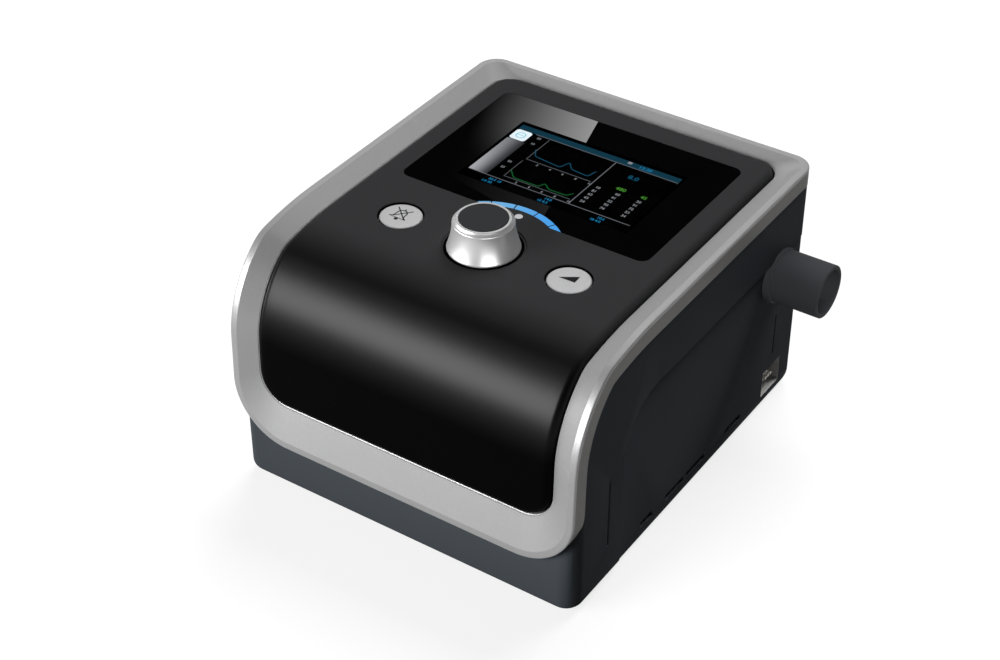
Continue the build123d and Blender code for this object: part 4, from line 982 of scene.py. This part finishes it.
def silver_frame():
    """Rings of one rounded outline, from the skirt's foot over the band to the opening.

    The flat outer band is the outline moved in. The main face is a blend, point by point,
    from the band's inner edge to the opening's edge, while its sink grows evenly.
    """
    rear = CROWN_START_Y - FRAME_REAR_Y
    front = along_at_height(FRAME_BOTTOM_Z)

    def moved_in(inset):
        return outline(
            FRAME_HALF_WIDTH - inset, rear + inset, front - inset,
            FRAME_REAR_R - inset, FRAME_FRONT_R - inset,
        )

    opening = opening_outline(0)
    band = moved_in(FRAME_BAND)
    rings = [(moved_in(0), FRAME_SKIRT), (moved_in(0), 2 * FRAME_EDGE_R)]
    rings += [(moved_in(inset), sink) for inset, sink in rounding(FRAME_EDGE_R, 6)]
    rings += [(moved_in(inset), 0.0) for inset in FRAME_BAND_INSETS]
    for share in FRAME_FACE_SHARES:
        rings.append((band * (1 - share) + opening * share, FRAME_DROP * share))
    face_width = FRAME_HALF_WIDTH - FRAME_BAND - OPENING_HALF_WIDTH
    for drop, back in rounding(FRAME_LIP, 5):
        share = 1 - back / face_width
        rings.append((band * (1 - share) + opening * share, FRAME_DROP + drop))
    under = FRAME_DROP + FRAME_PLATE
    rings += [(opening, under), (moved_in(FRAME_WALL), under), (moved_in(FRAME_WALL), FRAME_SKIRT)]
    points = [on_crown(plan[:, 0], plan[:, 1], sink) for plan, sink in rings]
    faces = ring_faces(len(rings), len(opening), closed=True)
    # The skirt faces take the darker copy of the lacquer as painted shade
    skirt = np.arange(len(faces)) < len(opening)
    return new_piece(
        "silver_frame", place(np.concatenate(points)), faces.tolist(), (silver, skirt_painted_shade),
        "casing", "silver_plastic", ("bezel_frame",), skirt,
    )


def filled(plan, sink):
    """Grid inside an outline: each point of the right side is joined to its mirror image."""
    rows = 2 * CORNER_STEPS + SIDE_STEPS + 1
    share = np.linspace(-1, 1, END_STEPS + 1)
    x = plan[:rows, 0][:, None] * share
    along = np.broadcast_to(plan[:rows, 1][:, None], x.shape)
    return on_crown(x, along, sink).reshape(-1, 3), rows, END_STEPS + 1


def round_well(name, x, y, radius, floor, rim=WELL_RIM):
    """Cutter for a round well: a wall, and a rim that opens by a small bevel at the top."""
    profile = (
        (0, floor), (radius, floor), (radius, PANEL_TOP - rim), (radius + rim, PANEL_TOP),
        (radius + rim, PANEL_TOP + ABOVE), (0, PANEL_TOP + ABOVE),
    )
    return new_object(name, *lathe(profile, (x, y, 0)))


def near_axis(x, y, radius):
    """Picks the faces whose centres lie within a radius of an upright axis."""
    return lambda centre, normal: np.hypot(centre[:, 0] - x, centre[:, 1] - y) < radius


def window_plan(grow):
    """Rounded rectangle whose front edge steps round the lit arc."""
    half = WINDOW_HALF_WIDTH + grow
    rear = WINDOW_REAR_Y + grow
    front = WINDOW_FRONT_Y - grow
    disc_r = ARC_OUTER_R + FIT - grow
    first = degrees(acos((front - KNOB_Y) / disc_r))
    plan = rounded_rectangle(-half, half, front, rear, WINDOW_R, 10)
    return np.concatenate([plan, arc_points((0, KNOB_Y), disc_r, 90 + first, 90 - first, 48)])


def arc_plans(grow):
    """Lit pieces of the ring about the knob, between its gaps and the window's front line.

    A gap is a bar of even width, so at radius r its edge lies half its width / r from its turn.
    """
    bar = ARC_GAP / 2 - grow
    turns = (-90.0, *ARC_GAP_TURNS, 90.0)
    plans = []
    for begin, end in zip(turns[:-1], turns[1:]):
        plan = []
        for radius, order in ((ARC_OUTER_R + grow, 1), (ARC_INNER_R - grow, -1)):
            limit = degrees(acos((WINDOW_FRONT_Y - grow - KNOB_Y) / radius))
            edge = degrees(bar / radius)
            first, last = max(begin + edge, -limit), min(end - edge, limit)
            plan += arc_points((0, KNOB_Y), radius, 90 - first, 90 - last, 14)[::order]
        plans.append(np.array(plan)[::-1])
    return plans


def cut(piece, cutters):
    """Takes the cutters out of the piece and leaves the result as plain mesh."""
    for cutter in cutters:
        step = piece.modifiers.new(cutter.name, "BOOLEAN")
        step.object = cutter
        step.operation = "DIFFERENCE"
        step.solver = "EXACT"
    depsgraph = bpy.context.evaluated_depsgraph_get()
    result = bpy.data.meshes.new_from_object(piece.evaluated_get(depsgraph))
    piece.modifiers.clear()
    piece.data = result
    for cutter in cutters:
        bpy.data.objects.remove(cutter)


def front_panel():
    """Closed black cover: a rounded edge round a filled grid, with wells for what stands in it."""
    rings = [(opening_outline(PANEL_GAP), PANEL_DEPTH)]
    for inset, sink in rounding(PANEL_EDGE_R, 10):
        rings.append((opening_outline(PANEL_GAP + inset), PANEL_SINK + sink))
    points = [on_crown(plan[:, 0], plan[:, 1], sink) for plan, sink in rings]
    count = len(rings[0][0])
    faces = ring_faces(len(rings), count).tolist()
    first = len(rings) * count
    for plan, sink in (rings[-1], rings[0]):
        patch, rows, columns = filled(plan, sink)
        points.append(patch)
        faces += patch_faces(rows, columns, first).tolist()
        first += rows * columns
    piece = new_object("black_panel", place(np.concatenate(points)), faces)
    top, through = PANEL_TOP, PANEL_TOP - WELL_DEPTH
    levels = ((0, top - WINDOW_SINK), (0, top - LENS_EDGE), (LENS_EDGE, top), (LENS_EDGE, top + ABOVE))
    cutters = [
        new_object("window_well", *prism(window_plan(FIT), levels)),
        round_well("knob_well", 0, KNOB_Y, KNOB_HOLE_R, top - KNOB_HOLE_DEPTH),
        round_well("knob_ring", 0, KNOB_Y, KNOB_RING_R, top - KNOB_RING_DEPTH),
        round_well("dot_well", 0, DOT_Y, DOT_R + FIT / 2, through, FIT / 2),
    ]
    grow = DISPLAY_BORDER + FIT
    half = DISPLAY_HALF_WIDTH + grow
    screen = rectangle(-half, half, DISPLAY_FRONT_Y - grow, DISPLAY_REAR_Y + grow)
    cutters.append(new_object("display_well", *prism(screen, ((0, through), (0, top - 1)))))
    for number, plan in enumerate(arc_plans(FIT)):
        cutters.append(new_object(f"arc_well_{number}", *prism(plan, ((0, through), (0, top + ABOVE)))))
    # Wells round the knob and keys, drawn near black as painted shade
    black = [(0, KNOB_Y, KNOB_HOLE_R)]
    for side in (-1, 1):
        well = (side * KEY_X, KEY_Y, KEY_R + KEY_GAP)
        cutters.append(round_well(f"key_well_{side + 1}", *well, top - KEY_WELL))
        black.append(well)
    cut(piece, cutters)
    for x, y, radius in black:
        mark(piece.data, 1, near_axis(x, y, radius + 0.02))
    finish_piece(piece, (panel_black, well_painted_shade), "casing", ("front_panel",))


def printed_faces(centre, normal):
    """Faces of the window plate that lie outside the clear opening over the display."""
    (left, right), (front, rear) = CLEAR_OPENING
    x, y = centre[:, 0], centre[:, 1]
    return (x < left) | (x > right) | (y < front) | (y > rear)


def window_glass():
    """Plate of the window's plan with finely bevelled edges: clear over the display, else black."""
    bottom = PANEL_TOP - LENS_THICKNESS
    levels = (
        (-LENS_EDGE, bottom), (0, bottom + LENS_EDGE), (0, PANEL_TOP - LENS_EDGE), (-LENS_EDGE, PANEL_TOP),
    )
    plate = new_object("window_plate", *prism(window_plan(0), levels))
    with edited(plate.data) as shell:
        for axis, sides in zip(np.identity(3), CLEAR_OPENING):
            for side in sides:
                cut_at = {"plane_co": place(axis * side)[0], "plane_no": axis}
                everything = [*shell.verts, *shell.edges, *shell.faces]
                bmesh.ops.bisect_plane(shell, geom=everything, dist=1e-8, **cut_at)
    mark(plate.data, 1, printed_faces)
    return finish_piece(plate, (window_clear, mask_black), "casing", ("screen_lens",))


def ledge_faces(centre, normal):
    """Slanted edge of the sunk docking face on the right side, which takes a paler slate as a painted
    highlight.
    """
    slanted = (normal[:, 0] > 0.5) & (normal[:, 0] < 0.9) & (centre[:, 1] > LEDGE_START_Y)
    return slanted & (centre[:, 0] > DOCK_FACE_X + 0.05) & (centre[:, 0] < CASE_HALF_WIDTH - 0.05)


def slot_faces(centre, normal):
    """Floors and walls of the shallow slots beside the docking face and in it, which take a paler slate as
    painted light.
    """
    straight = (normal[:, 0] > 0.999) | (np.abs(normal[:, 0]) < 0.01)
    sunk = np.zeros(len(centre), bool)
    for face_x in (CASE_HALF_WIDTH, DOCK_FACE_X):
        sunk |= np.abs(centre[:, 0] - face_x + 0.65 * SLOT_DEPTH) < 0.4 * SLOT_DEPTH
    return straight & sunk & (normal[:, 2] < 0.999)


def pocket_faces(centre, normal):
    """Inner walls of the pocket in the docking face, which take a pale grey as painted light."""
    inside = centre[:, 0] < DOCK_FACE_X - 0.1
    for axis, (low, high) in zip((0, 1, 2), POCKET):
        inside &= (centre[:, axis] > low) & (centre[:, axis] < high)
    return inside


def housing():
    """The casing's own shape with its loose triangles merged into flat faces and small bevels."""
    mesh = frame["nodes"]["main_housing"].data.copy()
    mesh.name = "slate_housing"
    with edited(mesh) as shell:
        merge(shell, 1e-6)
        bmesh.ops.dissolve_limit(shell, angle_limit=radians(0.4), verts=shell.verts, edges=shell.edges)
    piece = linked("slate_housing", mesh)
    # Ledge and slot faces take the paler slate as painted light
    mark(mesh, 1, ledge_faces)
    mark(mesh, 1, slot_faces)
    # The pocket walls take the pale grey as painted light
    mark(mesh, 2, pocket_faces)
    finish_piece(
        piece, (slate, slate_painted_highlight, pocket_painted_light), "casing", ("main_housing",), 28,
    )
    # Bevels along the casing's edges take the paler slate as a painted highlight
    edges = piece.modifiers.new("edges", "BEVEL")
    edges.width = HOUSING_EDGE_R * MM
    edges.segments = 2
    edges.limit_method = "ANGLE"
    edges.angle_limit = radians(40)
    edges.harden_normals = True
    edges.material = 1


def knob():
    """Lathe profile: rounded foot, a flank that flares by a power, shoulder, rim and cap recess."""
    floor = PANEL_TOP - KNOB_SINK
    foot = (KNOB_BASE_R - KNOB_FOOT, floor + KNOB_FOOT)
    shoulder = (KNOB_WAIST_R - KNOB_BEAD, KNOB_TOP - KNOB_SHOULDER_DROP - KNOB_BEAD)
    profile = [(0, floor), (KNOB_BASE_R - KNOB_FOOT, floor)]
    profile += arc_points(foot, KNOB_FOOT, -85, KNOB_FOOT_TURN, 10)
    start_r, start_z = profile[-1]
    share = np.linspace(0, 1, 28)[1:]
    flank_r = KNOB_WAIST_R + (start_r - KNOB_WAIST_R) * (1 - share) ** KNOB_FLARE
    profile += list(zip(flank_r, start_z + (shoulder[1] - start_z) * share))
    profile += arc_points(shoulder, KNOB_BEAD, 0, 70, 7)[1:]
    profile += arc_points((KNOB_RIM_R - KNOB_RIM_EDGE, KNOB_TOP - KNOB_RIM_EDGE), KNOB_RIM_EDGE, 20, 90, 7)
    recess = CAP_R + FIT
    profile += [(recess + FIT, KNOB_TOP), (recess, KNOB_TOP - FIT)]
    profile += [(recess, KNOB_TOP - CAP_DEPTH), (0, KNOB_TOP - CAP_DEPTH)]
    turned_piece = new_piece(
        "turned_knob", *lathe(profile, (0, KNOB_Y, 0)), knob_turned, "dial", "satin_metal", ("knob",),
        sharp=45,
    )
    base = KNOB_TOP - CAP_DEPTH
    top = KNOB_TOP + CAP_PROUD
    cap = [(0, base), (CAP_R, base)]
    cap += arc_points((CAP_R - CAP_PROUD, top - CAP_PROUD), CAP_PROUD, 0, 90, 5)
    cap += [(CAP_R * 0.5, top), (0, top)]
    new_piece(
        "dark_cap", *lathe(cap, (0, KNOB_Y, 0)), cap_black, "dial", "panel_plastic", ("knob_cap",),
    )
    return turned_piece


def keys():
    """Lathe profiles: a flange under the panel, a straight wall, a rounded edge and a flat face."""
    made = []
    low = KEY_FLANGE_TOP - KEY_FLANGE
    for side, node, body in ((-1, "mute_button", "mute_key"), (1, "ramp_button", "ramp_key")):
        profile = [(0, low), (KEY_FLANGE_R, low), (KEY_FLANGE_R, KEY_FLANGE_TOP), (KEY_R, KEY_FLANGE_TOP)]
        profile += arc_points((KEY_R - KEY_EDGE_R, KEY_TOP - KEY_EDGE_R), KEY_EDGE_R, 0, 90, 8)
        profile += [(KEY_R * 0.5, KEY_TOP), (0, KEY_TOP)]
        key = lathe(profile, (side * KEY_X, KEY_Y, 0))
        made.append(new_piece(f"{body}_face", *key, key_turned, body, "key_metal", (node,)))
    return made


def key_prints():
    """Crossed-out bell on the left key, long triangle on the right one."""
    middle = np.array([BELL_X, KEY_Y])
    dome = arc_points(BELL_DOME, BELL_DOME_R, 0, 180, 12)
    left_foot = [(-x, y) for x, y in BELL_FOOT[::-1]]
    bell = np.array([*BELL_FOOT, *dome, *left_foot, *BELL_FOOT]) + middle
    strokes = [stroke(path, BELL_LINE) for path in (bell, np.array(BELL_STEM) + middle, *CROSS)]
    strokes.insert(2, disc(BELL_X, KEY_Y - CLAPPER_DROP, CLAPPER_R))
    plates("mute_print", strokes, KEY_TOP, print_dark, "mute_key", "panel_plastic")
    plates("ramp_print", [np.array(TRIANGLE)], KEY_TOP, print_dark, "ramp_key", "panel_plastic")


def outlet():
    """Open tube with rounded lips, a wider root and a bore that reaches into the casing."""
    profile = [(OUTLET_ROOT_R, OUTLET_START_X), (OUTLET_ROOT_R, OUTLET_ROOT_X - OUTLET_ROOT_EDGE)]
    profile += [(OUTLET_ROOT_R - OUTLET_ROOT_EDGE, OUTLET_ROOT_X), (OUTLET_R, OUTLET_ROOT_X)]
    for radius, edge, begin in (
        (OUTLET_R - OUTLET_LIP_R, OUTLET_LIP_R, 0),
        (OUTLET_BORE_R + OUTLET_BORE_EDGE_R, OUTLET_BORE_EDGE_R, 90),
    ):
        profile += arc_points((radius, OUTLET_END_X - edge), edge, begin, begin + 90, 6)
    profile += [(OUTLET_BORE_R, OUTLET_START_X), (OUTLET_ROOT_R, OUTLET_START_X)]
    return new_piece(
        "outlet_tube", *lathe(profile, (0, OUTLET_Y, OUTLET_Z), level=True), outlet_dark,
        "casing", "outlet_plastic", ("outlet_port",),
    )


def numbers(name, labels, material):
    """Numbers of the display as thin closed plates: each label is its text, left x, base y, height."""
    points = []
    faces = []
    for text, x, y, height in labels:
        curve = bpy.data.curves.new(name, "FONT")
        curve.body = text
        curve.extrude = 0.5
        curve.resolution_u = 2
        curve.offset = DIGIT_SWELL
        letters = linked(name, curve)
        mesh = bpy.data.meshes.new_from_object(letters.evaluated_get(bpy.context.evaluated_depsgraph_get()))
        corners = np.empty(len(mesh.vertices) * 3)
        mesh.vertices.foreach_get("co", corners)
        corners = corners.reshape(-1, 3)
        corners[:, :2] *= height / DIGIT_HEIGHT
        corners[:, 2] *= PRINT_HEIGHT
        first = len(points)
        points += (corners + (x, y, SCREEN_Z + PRINT_HEIGHT)).tolist()
        faces += [[first + corner for corner in face.vertices] for face in mesh.polygons]
        bpy.data.objects.remove(letters)
        bpy.data.meshes.remove(mesh)
    new_piece(name, place(points), faces, material, "casing", "display")


def display():
    """Header, sidebar, two plots with their curves, and columns of numbers, in three layers."""
    x, y = ICON
    bar = [(x - ICON_R, y), (x + ICON_R, y)]
    icon = [stroke(disc(x, y, ICON_R), ICON_RING), stroke(bar, ICON_BAR)]
    lines = [rectangle(*rule) for rule in RULES]
    for left, right, low, high in PLOTS:
        lines.append(rectangle(left, right, low, low + PLOT_LINE))
        lines.append(rectangle(left - PLOT_LINE, left, low, high))
    pressure, flow = ([stroke(rounded(path, CURVE_BEND), CURVE_LINE)] for path in (PRESSURE, FLOW))
    tile = rounded_rectangle(*TILE, TILE_R, BEND_STEPS)
    pale = glowing("screen_white", 140, 143, 147)
    for name, plans, layer, finish in (
        ("screen_header", [rectangle(*HEADER)], 0, glowing("header_teal", 18, 56, 72)),
        # The sidebar carries a painted reflection of the window
        ("screen_sidebar_painted_reflection", [rectangle(*SIDEBAR_X, *SIDEBAR_Y)], 0, sidebar_painted_reflection()),
        ("screen_icon_tile", [tile], 0, glowing("tile_white", 240, 250, 255)),
        ("screen_icon", icon, 2, glowing("icon_cyan", 150, 215, 232)),
        ("screen_lines", lines, 1, glowing("screen_lines", 104, 107, 112)),
        ("screen_battery", [rectangle(*BATTERY)], 2, pale),
        ("pressure_curve", pressure, 2, glowing("curve_blue", 24, 84, 110)),
        ("flow_curve", flow, 2, glowing("curve_green", 22, 104, 48)),
    ):
        plates(name, plans, SCREEN_Z + layer * PRINT_HEIGHT / 2, finish)
    small = []
    for y in TICK_ROWS:
        small += [(str(2 * step + 2), TICK_START_X + TICK_STEP * step, y, TICK_HEIGHT) for step in range(5)]
    small += [*UPPER_SCALE, *LOWER_SCALE]
    for column, x in enumerate(TABLE_COLUMNS):
        for row in range(5):
            text = f"{(7 * row + 5 * column) % 9 + 1}{row}"
            small.append((text, x, TABLE_TOP - TABLE_STEP * row, TABLE_HEIGHT))
    upper_y, lower_y = READING_ROWS
    bright = [CLOCK]
    for x, upper, lower in READINGS:
        bright.append((upper, x + READING_INDENT, upper_y, READING_HEIGHT))
        bright.append((lower, x, lower_y, READING_HEIGHT))
    numbers("screen_small_numbers", small, pale)
    numbers("screen_teal_numbers", [LARGE_NUMBER], glowing("number_teal", 16, 84, 112))
    numbers("screen_cyan_numbers", bright, glowing("number_cyan", 30, 128, 176))
    numbers("screen_green_numbers", GREEN_NUMBERS, glowing("number_green", 70, 142, 48))


metal = [silver_frame()]
front_panel()
glass = window_glass()
housing()
turned_knob = knob()
metal += [turned_knob, *keys()]
key_prints()
tube = outlet()
display()

for entry in frame["record"]["subparts"]:
    node = entry["node"]
    for slot in frame["nodes"][node].material_slots:
        slot.material = NODE_FINISHES.get(node, FINISHES[entry["material_slot"]])


def camera():
    """Camera of the reference view."""
    lens = bpy.data.cameras.new("camera")
    lens.lens = CAMERA_LENS
    lens.clip_start = 0.01
    eye = linked("camera", lens)
    eye.location = place(CAMERA_PLACE)[0]
    eye.rotation_euler = (radians(90 - CAMERA_HEIGHT), 0, radians(CAMERA_AZIMUTH))
    bpy.context.scene.camera = eye


def area_lamp(name, width, height, radiance):
    """Rectangular lamp: with power P and area A its radiance is P / (pi A)."""
    light = bpy.data.lights.new(name, "AREA")
    light.shape = "RECTANGLE"
    light.size, light.size_y = width, height
    light.energy = radiance * pi * width * height
    return linked(name, light)


def softbox(name, direction, distance, size, radiance):
    """Lamp at a distance along a direction from the aim, facing back to it, in metres."""
    lamp = area_lamp(name, *size, radiance)
    heading = Vector(direction).normalized()
    lamp.location = Vector(place(AIM)[0]) + heading * distance
    lamp.rotation_euler = heading.to_track_quat("Z", "Y").to_euler()
    return lamp


def bearing(azimuth, height):
    """Direction from the object: azimuth from the front towards the right, height above level."""
    turn, up = radians(azimuth), radians(height)
    return sin(turn) * cos(up), -cos(turn) * cos(up), sin(up)


def only_on(lamp, *pieces):
    """The lamp lights these pieces and nothing else."""
    lit = bpy.data.collections.new(f"{lamp.name}_pieces")
    for piece in pieces:
        lit.objects.link(piece)
    lamp.light_linking.receiver_collection = lit


def not_on(lamp, piece):
    """The lamp lights everything but this piece."""
    unlit = bpy.data.collections.new(f"{lamp.name}_skips")
    unlit.objects.link(piece)
    unlit.collection_objects[0].light_linking.link_state = "EXCLUDE"
    lamp.light_linking.receiver_collection = unlit


def window_card():
    """Sheet of light that only the window mirrors, bright along one edge.

    Its strength is a power of the share left across it, times a smooth step down along it.
    """
    card = area_lamp("window_card", CARD_SIZE[0] * MM, CARD_SIZE[1] * MM, CARD_RADIANCE)
    card.data.use_nodes = True
    tree = card.data.node_tree
    share = axes(tree, put(tree, "ShaderNodeNewGeometry").outputs["Parametric"])
    across = maths(tree, "POWER", maths(tree, "SUBTRACT", 1.0, share["X"]), CARD_FALL)
    along = eased(tree, share["Y"], *CARD_STEP)
    feed(tree, tree.nodes["Emission"].inputs["Strength"], maths(tree, "MULTIPLY", across, along))
    right, up = (np.array(axis) for axis in CARD_AXES)
    middle = np.array(CARD_CORNER) + right * CARD_SIZE[0] / 2 + up * (CARD_START + CARD_SIZE[1] / 2)
    turn = Matrix((right, up, np.cross(right, up))).transposed()
    card.matrix_world = Matrix.Translation(place(middle)[0]) @ turn.to_4x4()
    only_on(card, glass)


def studio():
    """Key and top lamps for everything, the others for the pieces whose sheen they make."""
    key = softbox("key", bearing(-28.5, 20), distance=2.4, size=(1.5, 1.05), radiance=10.0)
    not_on(key, glass)
    soft = softbox("top", (-0.04, 0.6, 0.78), distance=3.0, size=(2.4, 1.8), radiance=7.8)
    soft.visible_glossy = False
    soft.visible_transmission = False
    sheen = softbox("sheen", WINDOW_MIRROR, distance=2.4, size=(1.1, 1.1), radiance=0.6)
    only_on(sheen, *metal)
    for side, azimuth, width, radiance in (("right", 50, 1.3, 4.0), ("left", -46, 1.5, 6.5)):
        card = softbox(f"knob_{side}", bearing(azimuth, 12), 1.6, (width, 0.9), radiance)
        only_on(card, turned_knob)
    for name, azimuth, radiance in (("left_card", -75, 2.5), ("front_card", -30, 8.5)):
        card = softbox(name, bearing(azimuth, 5), 2.4, (0.9, 0.4), radiance)
        only_on(card, metal[0])
    fill = softbox("outlet_fill", bearing(36, 26), distance=2.4, size=(1.0, 1.0), radiance=10.5)
    only_on(fill, tube, frame["nodes"]["dock_socket"], frame["nodes"]["dock_contacts"])
    window_card()


def seen_directly(tree):
    """1 for camera and transmitted rays, a share for glossy ones, 0 for the others."""
    path = put(tree, "ShaderNodeLightPath").outputs
    glossy = maths(tree, "MULTIPLY", path["Is Glossy Ray"], GLOSSY_SHARE)
    seen = maths(tree, "MAXIMUM", path["Is Camera Ray"], glossy)
    return maths(tree, "MAXIMUM", seen, path["Is Transmission Ray"])


def sky():
    """White behind the object, darker higher up where mirrors look, dim for soft light."""
    world = bpy.data.worlds.new("studio")
    bpy.context.scene.world = world
    world.use_nodes = True
    tree = world.node_tree
    up = axes(tree, put(tree, "ShaderNodeTexCoord").outputs["Generated"])["Z"]
    level = eased(tree, up, 0.1, 0.42, WORLD_HORIZON, WORLD_HIGH)
    path = put(tree, "ShaderNodeLightPath").outputs
    mirrored = maths(tree, "MAXIMUM", path["Is Glossy Ray"], path["Is Transmission Ray"])
    strength = between(tree, mirrored, WORLD_LIGHT, level)
    strength = between(tree, path["Is Camera Ray"], strength, 1.0)
    tree.links.new(strength, tree.nodes["Background"].inputs["Strength"])


def ground():
    """White floor that keeps the object's shadow, and gives back less light than it shows."""
    points = [(-1, -1, 0), (1, -1, 0), (1, 1, 0), (-1, 1, 0)]
    mesh = bpy.data.meshes.new("floor")
    mesh.from_pydata([Vector(point) * FLOOR_REACH for point in points], [], [(0, 1, 2, 3)])
    material, tree, shader = new_finish("floor_white")
    tree.nodes.remove(shader)
    seen = put(tree, "ShaderNodeBsdfDiffuse", {"Color": FLOOR_SEEN})
    glow = put(tree, "ShaderNodeEmission", {"Strength": FLOOR_GLOW})
    dim = put(tree, "ShaderNodeBsdfDiffuse", {"Color": FLOOR_LIGHT})
    both = put(tree, "ShaderNodeAddShader")
    choice = put(tree, "ShaderNodeMixShader", {"Fac": seen_directly(tree)})
    for node, target in (
        (seen, both.inputs[0]), (glow, both.inputs[1]), (dim, choice.inputs[1]), (both, choice.inputs[2]),
        (choice, tree.nodes["Material Output"].inputs["Surface"]),
    ):
        tree.links.new(node.outputs[0], target)
    mesh.materials.append(material)
    floor = linked("floor", mesh)


camera()
studio()
sky()
ground()
bpy.context.scene.view_settings.view_transform = "Standard"
